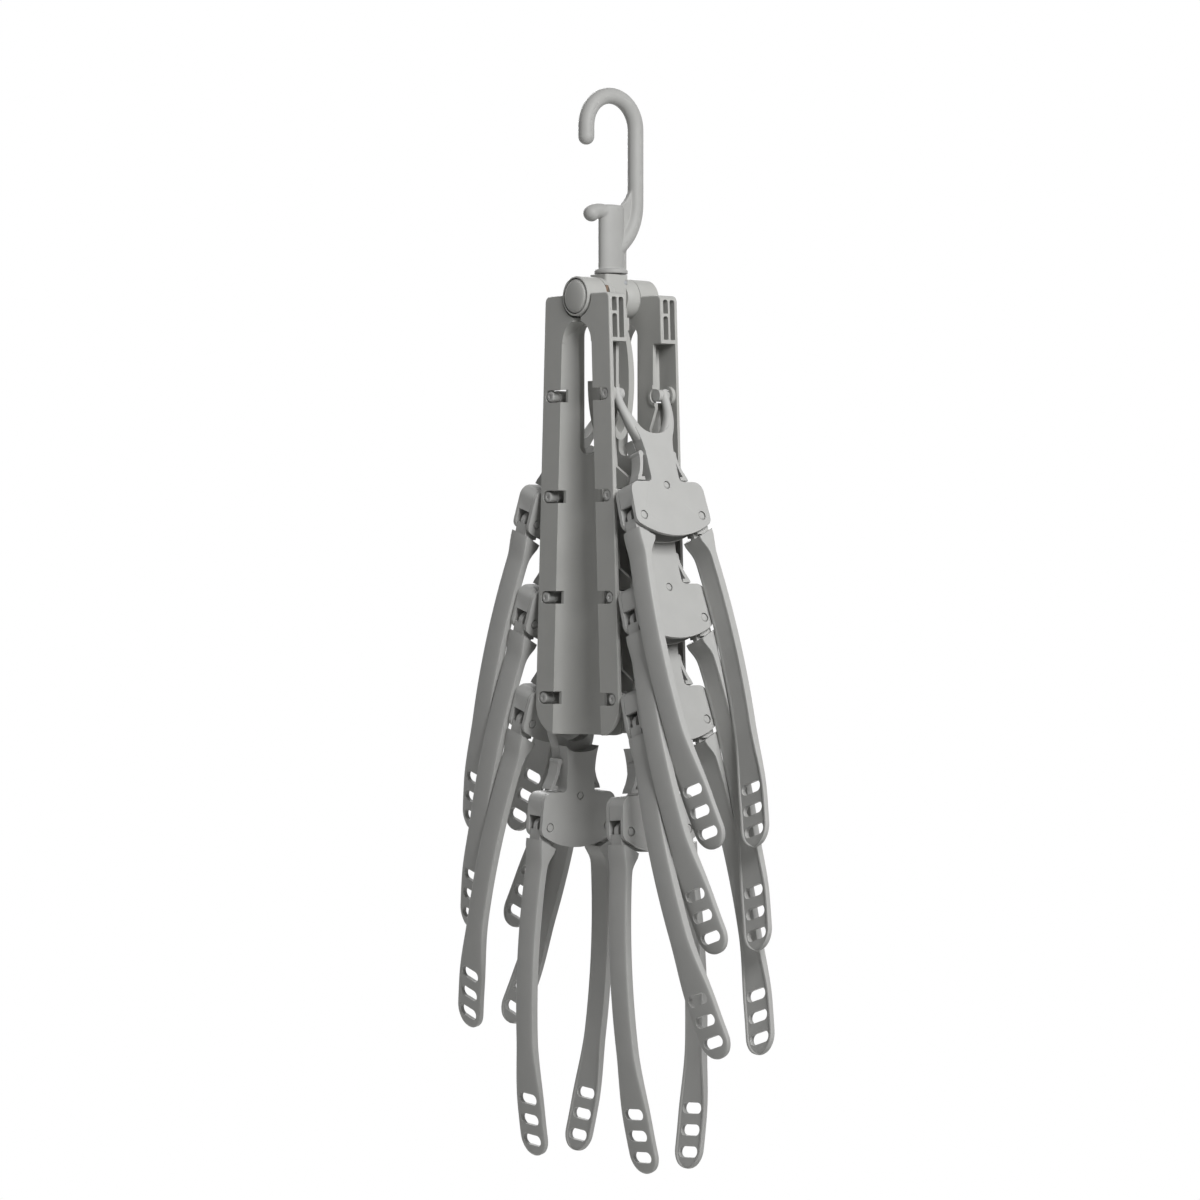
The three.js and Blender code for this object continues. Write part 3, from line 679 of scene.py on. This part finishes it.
# %% Cheek flange reliefs
CHANNEL_TOP, FLANGE_STEP = -133.8, 7.0
LOBE, RELIEF_IN, RELIEF_TOP, RELIEF_FOOT = 7.4, 5, 11, 9
RELIEF_PAST, LAST_RELIEF = 4, 20


def flange_tool(corners, side):
    """A cut through the inner flange only, from corners (y, z) of the right-hand side."""
    outline = [(side * a, b) for a, b in corners]
    return slab("relief", outline, "x", CHEEK_IN - PAST, CHEEK_IN + FLANGE + JUST_PAST)


def relief_tools(side):
    """Above the first pin the inner flange stands back, and from each pin down it lets the prong out."""
    y, z = PINS[0]
    inner, far = half_width(CHANNEL_TOP) - FLANGE_STEP, half_width(z) + RELIEF_PAST
    tools = [flange_tool([(far, z), (inner, z), (inner, CHANNEL_TOP), (far, CHANNEL_TOP)], side)]
    for row, (y, z) in enumerate(PINS):
        below = PINS[row + 1][1] if row + 1 < len(PINS) else CHEEK_BOTTOM - LAST_RELIEF
        far, low_y = half_width(below) + RELIEF_PAST, half_width(below) - (half_width(z) - y)
        tools.append(flange_tool([
            (far, z), (y - LAP, z), (y - JUST_PAST, z - LOBE), (y - RELIEF_IN, z - LOBE - RELIEF_TOP),
            (low_y - RELIEF_IN, below + LOBE + RELIEF_FOOT), (far, below + LOBE)], side))
    return tools


print("flange stands back by", FLANGE_STEP, "mm above the first pin")

# %% Cheek
EYE_R, EYE_OUT, EYE_GAP, EYE_FLOOR, EYE_PROUD = 11.0, 26.2, 1.3, 3, 0.2
RECESS_R, RECESS_X = 9.9, 22.5
SLOT_HALF, SLOT_TOP, SLOT_BOTTOM = 8.0, -122.0, -195.0
SLOT_HEAD_R, SLOT_FOOT_R, THROAT_HALF, THROAT_LONG = 7.5, 5, 3.5, 4
GROOVE_WALL, CHEEK_SOFT = 1.8, 0.45


def cheek_hollows():
    """The large cuts: groove, side channels, the gap round the eye, the slot and the throat above it."""
    slot = rounded([(-SLOT_HALF, SLOT_BOTTOM, SLOT_FOOT_R), (SLOT_HALF, SLOT_BOTTOM, SLOT_FOOT_R),
                    (SLOT_HALF, SLOT_TOP, SLOT_HEAD_R), (-SLOT_HALF, SLOT_TOP, SLOT_HEAD_R)], 10)
    floor, outside = CHEEK_IN + EYE_FLOOR, CHEEK_OUT + PAST
    channel = block("channel", (CHEEK_IN + FLANGE, CHEEK_OUT - WALL), (-1.5 * REACH, 1.5 * REACH),
                    (CHEEK_BOTTOM - 2 * PAST, CHANNEL_TOP))
    cut(channel, groove_tool(GROOVE_WALL))
    return [groove_tool(0), channel,
            rod("eye gap", EYE_R + EYE_GAP, "x", floor, outside, (0, AXLE_Z), LARGE),
            slab("slot", slot, "x", CHEEK_IN - PAST, outside),
            block("throat", (floor, outside), (-THROAT_HALF, THROAT_HALF),
                  (GROOVE_TOP - THROAT_LONG, AXLE_Z - EYE_R))]


def cheek_mesh():
    """The rear cheek, from its block to its soft edges."""
    cheek = cut(cheek_block(), *cheek_hollows())
    tools, seats = [], []
    for side in (1, -1):
        tools += cell_tools(side) + relief_tools(side)
        for y, z in PINS:
            seats += pin_seats(y, z, side)
            tools += pin_tools(y, z, side)
    join(cheek, *seats)
    cut(cheek, *tools)
    near = CHEEK_IN - EYE_PROUD
    profile = [(0, near), (EYE_R, near), (EYE_R, EYE_OUT - 1.2 * CHAMFER), (EYE_R - CHAMFER, EYE_OUT),
               (0, EYE_OUT)]
    join(cheek, turned("eye", profile, "x", (0, AXLE_Z), LARGE))
    cut(cheek, rod("axle bore", AXLE_R + FIT, "x", CHEEK_IN - PAST, EYE_OUT + PAST, (0, AXLE_Z)),
        rod("cap recess", RECESS_R, "x", RECESS_X, EYE_OUT + PAST, (0, AXLE_Z), LARGE))
    return to_metres(soften(cheek, CHEEK_SOFT, 3))


HALF_TURN = Matrix.Rotation(math.pi, 4, "Z")
cheek = cheek_mesh()
piece("rear_cheek_moulding", cheek, "frame", "rear_cheek", frame_grey)
piece("front_cheek_moulding", cheek, "frame", "front_cheek", frame_grey, HALF_TURN)
print("cheek faces:", len(cheek.polygons))

# %% [markdown]
# ## The axle caps
#
# A shallow dome snaps into each eye and hides the axle. A dark ring shows round it, so the cap is
# a little smaller than its recess. It is turned from a profile, with a small round at the rim that
# makes the crescent of light.

# %% Axle caps
CAP_GAP, CAP_RIM, CAP_SIDE, CAP_RISE, CAP_SHARP = 0.5, 0.8, 2.6, 1.5, 50


def cap_mesh():
    """A disc with a straight side, a rounded rim and a low dome."""
    radius, base = RECESS_R - CAP_GAP, RECESS_X + FIT
    crown_r, side_top = radius - CAP_RIM, base + CAP_SIDE
    rim = [(crown_r + CAP_RIM * math.cos(t), side_top + CAP_RIM * math.sin(t)) for t in angles(0, 90, 6)]
    dome = [(crown_r * math.cos(t), side_top + CAP_RIM + CAP_RISE * math.sin(t))
            for t in angles(0, 90, 10)[1:]]
    cap = turned("cap", [(0, base), (radius, base)] + rim + dome, "x", (0, AXLE_Z), LARGE)
    cap.data.shade_smooth()
    cap.data.set_sharp_from_angle(angle=math.radians(CAP_SHARP))
    return to_metres(cap)


cap = cap_mesh()
piece("rear_cap", cap, "frame", "rear_axle_cap", frame_grey)
piece("front_cap", cap, "frame", "front_axle_cap", frame_grey, HALF_TURN)
print("caps placed at z", AXLE_Z, "mm")

# %% [markdown]
# ## The hanger shells
#
# Each of the eight hangers is two half shells that close round the roots of its arms. The front
# one has the neck and the fork with its pins; the back one has posts that show as small rings.
# The shells are drawn once, in the hanger's own place: pins on the X axis, outside towards -Y.

# %% Plate and neck outlines
PLATE_HALF, PLATE_THICK, SKIN = 27.0, 14.0, 2.2
FACE, BACK = -PLATE_THICK / 2, PLATE_THICK / 2
SHOULDER, PLATE_SIDE, PLATE_BOTTOM = -53.0, -76.0, -84.0
SHOULDER_R, SHOULDER_IN, CORNER_IN, CORNER_UP = 6, 6.8, 2.5, 3
NECK_HALF, NECK_THICK, NECK_FILLET, NECK_LAP = 10.0, 7.0, 3, 2
FLARE_LOW, FLARE_TURN, FLARE_END = -40, -30, (13.9, -21.6)
CROTCH_END, CROTCH_TURN, NOTCH = (11.4, -19.6), 7.5, -25.0


def plate_outline():
    """The plate: a bowed lower edge, small lower corners and round shoulders."""
    sag = PLATE_SIDE - PLATE_BOTTOM
    radius = (PLATE_HALF ** 2 + sag ** 2) / (2 * sag)
    spread = math.degrees(math.asin((PLATE_HALF - CORNER_IN) / radius))
    bottom = arc((0, PLATE_BOTTOM + radius), radius, -90, -90 + spread, 12)
    corner = bend(bottom[-1], (PLATE_HALF, PLATE_SIDE), (PLATE_HALF - 0.1, PLATE_SIDE + CORNER_UP), 6)
    shoulder = arc((PLATE_HALF - SHOULDER_IN, SHOULDER - SHOULDER_R), SHOULDER_R, 0, 90, 10)
    return mirrored(bottom[1:] + corner[1:] + shoulder) + [(0, PLATE_BOTTOM)]


def neck_root():
    """Where a neck rises from the plate, with a fillet."""
    out = NECK_HALF + NECK_FILLET
    fillet = bend((out, SHOULDER), (NECK_HALF, SHOULDER), (NECK_HALF, SHOULDER + NECK_FILLET), 6)
    return [(out, SHOULDER - NECK_LAP)] + fillet


def neck_outline():
    """The neck, which flares at the top into the roots of the prongs, with a round notch between them."""
    flare = bend((NECK_HALF, FLARE_LOW), (NECK_HALF, FLARE_TURN), FLARE_END, 8)
    crotch = bend(CROTCH_END, (CROTCH_TURN, NOTCH), (0, NOTCH), 10)
    return mirrored(neck_root() + flare + crotch[:-1])


print("plate points:", len(plate_outline()), "neck points:", len(neck_outline()))

# %% Fork prongs
PRONG_IN, PRONG_OUT, PRONG_TOP = 14.9, 19.6, 2.3
PRONG_R, PRONG_OVAL, PRONG_SET_BACK = 2.35, 1.1, 2.0
PRONG_ROOT, PRONG_TURN, PRONG_STRAIGHT = (8.0, -28), -15, -3
ROOT_WIDER, ROOT_DEEPER, ROOT_SQUARER = 1.15, 0.9, 0.4
DIMPLE_R, DIMPLE_FLOOR_R = 1.3, 1.1


def squarish(half_a, half_b, power):
    """An oval section; a power below 1 fills its corners."""
    return [(math.copysign(half_a * abs(math.cos(t)) ** power, math.cos(t)),
             math.copysign(half_b * abs(math.sin(t)) ** power, math.sin(t)))
            for t in angles(0, 360, 32)[:-1]]


def prong(way):
    """A bar from the neck's corner up to the pin, squarish at its root, at +X for way 1."""
    middle = (PRONG_IN + PRONG_OUT) / 2
    line = bend(PRONG_ROOT, (middle, PRONG_TURN), (middle, PRONG_STRAIGHT), 14) + [(middle, PRONG_TOP)]
    rings = []
    for k, (x, z) in enumerate(line):
        before, after = line[max(k - 1, 0)], line[min(k + 1, len(line) - 1)]
        across = Vector((after[1] - before[1], before[0] - after[0])).normalized()
        share = k / len(line)
        y = FACE + NECK_THICK / 2 + PRONG_SET_BACK * smooth_step(share, 0.35, 1.0)
        root = 1 - smooth_step(share, 0.05, 0.75)
        section = squarish(PRONG_R + ROOT_WIDER * root, PRONG_R * PRONG_OVAL + ROOT_DEEPER * root,
                           1 - ROOT_SQUARER * root)
        rings.append([(way * (x + across.x * a), y + b, z + across.y * a) for a, b in section])
    return working_solid("prong", rings)


def fork_pins(way):
    """The boss and the pin at the top of a prong; the pin's end has a dimple."""
    start, tip = way * (PRONG_OUT - PAST), way * (CHEEK_OUT - FIT)
    boss = sorted((way * (CHEEK_IN + FIT), way * PRONG_OUT))
    end = tip - way * CHAMFER
    profile = [(0, start), (PIN_R, start), (PIN_R, end), (PIN_R - CHAMFER, tip),
               (DIMPLE_R, tip), (DIMPLE_FLOOR_R, end), (0, end)]
    return [rod("boss", BOSS_PIN_R, "x", *boss, (0, 0), MEDIUM),
            turned("pin", profile, "x", (0, 0), SMALL)]


print("prong middle at x", (PRONG_IN + PRONG_OUT) / 2, "mm")

# %% Front shell
PIVOT_X, PIVOT_Z, POST_R = 21.0, -72.4, 2.3
SCREW_Z, SCREW_R = -55.0, 2.0
LEVER_X, LEVER_Z, LEVER_R = 11.9, -36.2, 1.7
SILL, SIDE_WALL, ROOM_TOP, ROOM_R = -66.0, 2.8, 5.6, 4
SHELL_SOFT, FORK_SOFT = 0.8, 0.25


def front_shell_mesh():
    """The front half shell: plate, neck, hollow inside, holes, fork and pins."""
    rim_back = BACK - SKIN - FIT
    shell = slab("front shell", plate_outline(), "y", FACE, rim_back)
    join(shell, slab("neck", neck_outline(), "y", FACE, FACE + NECK_THICK))
    soften(shell, SHELL_SOFT)
    edge, wall = PLATE_HALF + 2 * PAST, PLATE_HALF - SIDE_WALL
    low, top = PLATE_BOTTOM - 2 * PAST, SHOULDER - ROOM_TOP
    room = rounded([(-edge, low, 0), (edge, low, 0), (edge, SILL, 0), (wall, SILL, 0),
                    (wall, top, ROOM_R), (-wall, top, ROOM_R), (-wall, SILL, 0), (-edge, SILL, 0)])
    front, back = FACE - PAST, rim_back + PAST
    tools = [slab("room", room, "y", FACE + SKIN, back),
             rod("screw hole", SCREW_R + FIT, "y", front, back, (0, SCREW_Z), SMALL)]
    for way in (-1, 1):
        post, lever = (way * PIVOT_X, PIVOT_Z), (way * LEVER_X, LEVER_Z)
        tools.append(rod("post hole", POST_R + FIT, "y", front, FACE + SKIN + PAST, post, SMALL))
        tools.append(rod("lever hole", LEVER_R + FIT, "y", front, back, lever, TINY))
    cut(shell, *tools)
    join(shell, prong(-1), prong(1), *fork_pins(-1), *fork_pins(1))
    return to_metres(soften(shell, FORK_SOFT, 2, 40))


front_shell = front_shell_mesh()
print("front shell faces:", len(front_shell.polygons))

# %% Back shell
RING_HALF, RING_DEEP, POST_SHY = 0.35, 0.7, 0.2
BACK_FLARE_LOW, BACK_FLARE_TURN, BACK_FLARE_END = -42, -33, (12, -27)
DIP_TURN, DIP = 9, -30.5
BACK_SOFT, POST_SOFT = 0.6, 0.15


def ring_tool(radius, x, z):
    """A shallow ring groove in the back face."""
    inner, outer, floor = radius - RING_HALF, radius + RING_HALF, BACK - RING_DEEP
    profile = [(inner, floor), (outer, floor), (outer, BACK + PAST), (inner, BACK + PAST)]
    return working_solid("ring groove", [
        [(x + r * math.cos(t), y, z + r * math.sin(t)) for r, y in profile] for t in angles(0, 360, 32)])


def post(radius, x, z):
    """A round post from the back shell's plate to the front face, with a chamfered end."""
    root, tip = BACK - SKIN + PAST, FACE + POST_SHY
    profile = [(0, root), (radius, root), (radius, tip + CHAMFER), (radius - CHAMFER, tip), (0, tip)]
    return turned("post", profile, "y", (x, z), SMALL)


def back_shell_mesh():
    """The back half shell: plate, its own neck, ring grooves and posts."""
    front, neck_front = BACK - SKIN, FACE + NECK_THICK + FIT
    flare = bend((NECK_HALF, BACK_FLARE_LOW), (NECK_HALF, BACK_FLARE_TURN), BACK_FLARE_END, 8)
    dip = bend(BACK_FLARE_END, (DIP_TURN, DIP), (0, DIP), 8)
    neck = mirrored(neck_root() + flare + dip[1:-1])
    shell = slab("back shell", plate_outline(), "y", front, BACK)
    join(shell, slab("neck", neck, "y", neck_front, BACK))
    cut(shell, block("room", (-PLATE_HALF, PLATE_HALF), (neck_front - PAST, front),
                     (PLATE_BOTTOM, SHOULDER + FIT)))
    soften(shell, BACK_SOFT)
    posts = [(SCREW_R, 0, SCREW_Z), (POST_R, -PIVOT_X, PIVOT_Z), (POST_R, PIVOT_X, PIVOT_Z)]
    cut(shell, *[ring_tool(*where) for where in posts])
    join(shell, *[post(*where) for where in posts])
    return to_metres(soften(shell, POST_SOFT, 2, 40))


back_shell = back_shell_mesh()
print("back shell faces:", len(back_shell.polygons))

# %% [markdown]
# ## The folding arms
#
# An arm is a strap, crowned outside and nearly flat inside, which bows outwards and widens into a
# paddle with three slots and a shallow hollow. Its section changes all the way down, so it is lofted:
# one formula gives the section at each distance from the pivot, and the skin joins some sixty of them.
# The slots are cut last, and only sharp rims are bevelled.

# %% Arm section
ARM_LENGTH, BOW, INSET = 186.0, 9.25, 6.5
STRAP_HALF, PADDLE_HALF = 7.2, 10.6
PADDLE_FROM, PADDLE_FULL = 118.0, 158.0
ROOT_END, ROOT_EASE = 23, 14
HALF_THICK, INNER_FLARE, OUTER_FLARE = 2.4, 3.9, 2.3
INNER_SAVED, OUTER_SAVED = 0.7, 0.6
LIP, LIP_SOFT, CROWN, CROWN_POWER = 1.8, 0.45, 1.1, 0.7
HOLLOW, PADDLE_HOLLOW = 0.15, 0.45
TIP_THIN, TIP_FROM = 0.8, 0.8


def drift(u):
    """How far the arm's middle line bows outwards at a distance u below the pivot."""
    t = u / ARM_LENGTH
    return 4 * BOW * t * (1 - t) - INSET * t


def arm_section(u):
    """The arm's section at u, as points (across, outwards)."""
    grown = smooth_step(u, PADDLE_FROM, PADDLE_FULL)
    root = smooth_step(ROOT_END - u, 0, ROOT_EASE)
    tip = max(0.0, (u - (ARM_LENGTH - PADDLE_HALF)) / PADDLE_HALF)
    wide = (STRAP_HALF + (PADDLE_HALF - STRAP_HALF) * grown) * math.sqrt(max(0.0, 1 - tip * tip))
    thin = math.sqrt(1 - TIP_THIN * max(0.0, (tip - TIP_FROM) / (1 - TIP_FROM)) ** 2)
    inner = (-HALF_THICK - INNER_FLARE * root + INNER_SAVED * grown) * thin
    outer = (HALF_THICK + OUTER_FLARE * root - OUTER_SAVED * grown) * thin
    lip = min(LIP, wide / 3)
    deep = (HOLLOW + PADDLE_HOLLOW * grown) * thin
    soft = min(LIP_SOFT, lip / 4)
    edge = wide - lip
    hollow = [(wide, inner + soft), (wide - 0.3 * soft, inner + 0.3 * soft), (wide - soft, inner),
              (edge + soft, inner), (edge, inner + 0.3 * deep),
              (edge - 0.3 * soft, inner + 0.8 * deep), (edge - soft, inner + deep)]
    rise = CROWN * thin
    crown = [(wide * math.cos(t), outer - rise + rise * math.sin(t) ** CROWN_POWER)
             for t in angles(0, 180, 16)]
    return [(-a, b) for a, b in hollow] + [(a, b) for a, b in reversed(hollow)] + crown


print("paddle width in mm:", 2 * PADDLE_HALF)

# %% Arm
ROOT_U, STATIONS, TIP_LEFT = 9.0, 56, 0.03
SKEW, SKEW_LONG = 0.35, 12
KNUCKLE_R, LEAF, LEAF_HALF, LEAF_LAP = 5.2, 1.5, 4.2, 3.5
HEEL_HALF, HEEL_IN, HEEL_OUT, HEEL_LOW, HEEL_TOP = 4.3, 3.6, 5.1, -82.2, -73.6
STRAP_WIDE, STRAP_TALL, STRAP_PITCH, STRAP_LAST, STRAPS = 15.2, 6.1, 11.8, 177.0, 3
STRAP_REACH, ARM_SOFT = 8, 0.3


def arm_loft(way):
    """The strap and paddle, lofted from the root to the tip."""
    ends = [ARM_LENGTH - PADDLE_HALF * (1 - math.sin(t)) for t in angles(0, 90, 10)[:-1]]
    stations = [ROOT_U + (ends[0] - ROOT_U) * k / STATIONS for k in range(STATIONS)]
    rings = []
    for u in stations + ends + [ARM_LENGTH - TIP_LEFT]:
        slope = drift(u + 0.5) - drift(u - 0.5)
        scale = 1 / math.hypot(1, slope)
        skew = SKEW * (1 - smooth_step(u, ROOT_U, ROOT_U + SKEW_LONG))
        x, z, rise = PIVOT_X + drift(u), PIVOT_Z - u, slope * scale + skew
        rings.append([(way * (x + v * scale), across, z + v * rise) for across, v in arm_section(u)])
    return working_solid("arm", rings)


def strap_slot(way, u):
    """The tool for a round-ended slot across the paddle at u."""
    middle, r = way * (PIVOT_X + drift(u)), STRAP_TALL / 2
    reach, z = STRAP_WIDE / 2 - r, PIVOT_Z - u
    shape = arc((reach, z), r, -90, 90, 14) + arc((-reach, z), r, 90, 270, 14)
    return slab("strap slot", shape, "x", middle - STRAP_REACH, middle + STRAP_REACH)


def arm_mesh(way):
    """The arm at +X for way 1, or its mirror image for way -1."""
    arm, x = arm_loft(way), way * PIVOT_X
    leaf = block("leaf", (x - LEAF_HALF, x + LEAF_HALF), (-LEAF, LEAF),
                 (PIVOT_Z - ROOT_U - LEAF_LAP, PIVOT_Z))
    knuckle = rod("knuckle", KNUCKLE_R, "y", -LEAF, LEAF, (x, PIVOT_Z), MEDIUM)
    heel = block("heel", sorted((x - way * HEEL_IN, x + way * HEEL_OUT)), (-HEEL_HALF, HEEL_HALF),
                 (HEEL_LOW, HEEL_TOP))
    join(arm, leaf, knuckle, heel)
    cut(arm, rod("pivot hole", POST_R + FIT, "y", -HEEL_HALF - PAST, HEEL_HALF + PAST, (x, PIVOT_Z), SMALL),
        *[strap_slot(way, STRAP_LAST - k * STRAP_PITCH) for k in range(STRAPS)])
    return to_metres(soften(arm, ARM_SOFT, 2, 50))


arms = {"a": arm_mesh(1), "b": arm_mesh(-1)}
print("arm faces:", len(arms["a"].polygons))

# %% [markdown]
# ## The squeeze levers
#
# Beside each neck sits a thin curved blade with a foot, which lets the arm go when it is pinched.
# It is a flat outline made thick, with a round bead at its top that turns in the neck.

# %% Lever
LEVER_FRONT, LEVER_BACK, LEVER_SOFT = -5.0, 2.4, 0.35
TOE_GAP, TOE_TALL, TOE_IN, TOE_OUT = 1.4, 2, 1, 6.4
BLADE_TURN = 8


def lever_mesh(way):
    """The lever at +X for way 1, or its mirror image for way -1."""
    x, z, sole = LEVER_X, LEVER_Z, SHOULDER + TOE_GAP
    toe = sole + TOE_TALL
    inner = bend((x - LEVER_R * 0.6, z - 1), (x + 0.4, z - BLADE_TURN), (x + 3, toe), 10)
    outer = bend((x + 5.6, toe + 0.2), (x + 2, z - BLADE_TURN), (x + LEVER_R * 0.8, z), 10)
    blade = inner + [(x + TOE_IN, toe), (x + TOE_IN, sole), (x + TOE_OUT, sole)] + outer
    lever = slab("lever", [(way * a, b) for a, b in blade], "y", LEVER_FRONT, LEVER_BACK)
    join(lever, rod("bead", LEVER_R, "y", LEVER_FRONT, LEVER_BACK, (way * x, z), SMALL))
    return to_metres(soften(lever, LEVER_SOFT, 2, 40))


levers = {"a": lever_mesh(1), "b": lever_mesh(-1)}
print("lever faces:", len(levers["a"].polygons))

# %% [markdown]
# ## Eight hangers in place
#
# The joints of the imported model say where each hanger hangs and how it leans: the swing joint is
# the line of its pins, and the axis of an arm's fold points straight through its plate.
# Those give a matrix, and the same six meshes are placed with it eight times.

# %% Place the hangers
def hanger_place(name):
    """The matrix that takes a hanger's own frame to where it hangs."""
    swing, fold = joints[f"{name}_swing"], joints[f"{name}_wing_a_fold"]
    x_axis, y_axis = -Vector(swing["axis"]), -Vector(fold["axis"])
    turn = Matrix((x_axis, y_axis, x_axis.cross(y_axis))).transposed().to_4x4()
    return Matrix.Translation(Vector(swing["pos_m"])) @ turn


hangers = [f"{side}_hanger_{row}" for side in ("right", "left") for row in (1, 2, 3, 4)]
shells = {"front_shell": front_shell, "back_shell": back_shell}
for name in hangers:
    place = hanger_place(name)
    for part, mesh in shells.items():
        piece(f"{name}_{part}_moulding", mesh, name, f"{name}_{part}", hanger_grey, place)
    for hand in ("a", "b"):
        wing, lever = f"{name}_wing_{hand}", f"{name}_lever_{hand}"
        piece(f"{wing}_arm", arms[hand], wing, wing, hanger_grey, place)
        piece(f"{lever}_blade", levers[hand], lever, lever, hanger_grey, place)
print("hangers placed:", len(hangers))

# %% [markdown]
# ## Floor, light and camera
#
# The object hangs in plain white. The world is white to the camera but only a dim grey to the
# object, so the background is white without flooding the plastic. The floor glows a little in the
# same way, and still takes the light and shadow of the lamps.
# A soft key lamp stands to the right of the camera and makes the right-hand faces light and the
# left-hand faces mid grey. A weak fill on the left opens the shadows a little, and one behind
# lights the far side.

# %% World
AMBIENT = 0.11


def seen_by_camera(tree):
    """1 for what the camera sees straight or by mirror or glass, 0 for light on the object."""
    path = add_node(tree, "ShaderNodeLightPath")
    shiny = add_node(tree, "ShaderNodeMath", {"operation": "MAXIMUM"}, {
        0: path.outputs["Is Camera Ray"], 1: path.outputs["Is Glossy Ray"]})
    return add_node(tree, "ShaderNodeMath", {"operation": "MAXIMUM"}, {
        0: shiny.outputs[0], 1: path.outputs["Is Transmission Ray"]}).outputs[0]


world = bpy.data.worlds.new("white studio")
bpy.context.scene.world = world
world.use_nodes = True
world.node_tree.nodes.clear()
level = add_node(world.node_tree, "ShaderNodeMapRange", inputs={
    "Value": seen_by_camera(world.node_tree), "To Min": AMBIENT, "To Max": 1.0})
sky = add_node(world.node_tree, "ShaderNodeBackground", inputs={
    "Color": (1, 1, 1, 1), "Strength": level.outputs["Result"]})
add_node(world.node_tree, "ShaderNodeOutputWorld", inputs={"Surface": sky.outputs["Background"]})
print("world light on the object:", AMBIENT)

# %% Floor
FLOOR_Z, FLOOR_HALF, FLOOR_GLOW = -1.25, 3.0, 0.55

corners = [(a * FLOOR_HALF, b * FLOOR_HALF, FLOOR_Z) for a, b in ((-1, -1), (1, -1), (1, 1), (-1, 1))]
floor_mesh = bpy.data.meshes.new("floor")
floor_mesh.from_pydata(corners, [], [(0, 1, 2, 3)])
floor = new_object("floor", floor_mesh)
pale, tree = new_material("pale studio floor")
paint = add_node(tree, "ShaderNodeBsdfDiffuse", inputs={"Color": linear("#F4F4F2")})
glow_level = add_node(tree, "ShaderNodeMapRange", inputs={
    "Value": seen_by_camera(tree), "To Max": FLOOR_GLOW})
glow = add_node(tree, "ShaderNodeEmission", inputs={"Strength": glow_level.outputs["Result"]})
both = add_node(tree, "ShaderNodeAddShader", inputs={0: paint.outputs["BSDF"], 1: glow.outputs["Emission"]})
add_node(tree, "ShaderNodeOutputMaterial", inputs={"Surface": both.outputs["Shader"]})
floor_mesh.materials.append(pale)
print("floor at", FLOOR_Z, "m")

# %% Camera
PHOTO_AZIMUTH = math.radians(-40.5)
PHOTO_PIXELS = 1200
PIXELS_PER_MM = 1.8
AIM_RIGHT, AIM_Z = -0.0061, -0.2756
DISTANCE = 2.2

back = Vector((math.sin(PHOTO_AZIMUTH), -math.cos(PHOTO_AZIMUTH), 0))
right = Vector((math.cos(PHOTO_AZIMUTH), math.sin(PHOTO_AZIMUTH), 0))
up = Vector((0, 0, 1))
aim = right * AIM_RIGHT + up * AIM_Z
camera = new_object("camera", bpy.data.cameras.new("camera"))
camera.location = aim + back * DISTANCE
camera.rotation_euler = (-back).to_track_quat("-Z", "Y").to_euler()
camera.data.lens = camera.data.sensor_width * DISTANCE / (PHOTO_PIXELS / PIXELS_PER_MM * MM)
bpy.context.scene.camera = camera
bpy.context.scene.view_settings.view_transform = "Standard"
print("lens:", round(camera.data.lens, 1), "mm")

# %% Lamps
def soft_lamp(name, toward, distance, size, level):
    """A square lamp that aims at the object; level 1 lights a face as white paper."""
    lamp = new_object(name, bpy.data.lights.new(name, "AREA"))
    direction = toward.normalized()
    lamp.location = aim + direction * distance
    lamp.rotation_euler = (-direction).to_track_quat("-Z", "Y").to_euler()
    lamp.data.size = size
    lamp.data.energy = level * math.pi ** 2 * distance ** 2
    return lamp


soft_lamp("key", back * 0.9 + right * 0.5 + up * 0.6, distance=1.2, size=0.55, level=1.06)
soft_lamp("left fill", back * 0.3 - right * 0.9 + up * 0.3, distance=2.6, size=1.6, level=0.04)
soft_lamp("back fill", back * -0.9 - right * 0.3 + up * 0.45, distance=2.4, size=1.4, level=0.75)
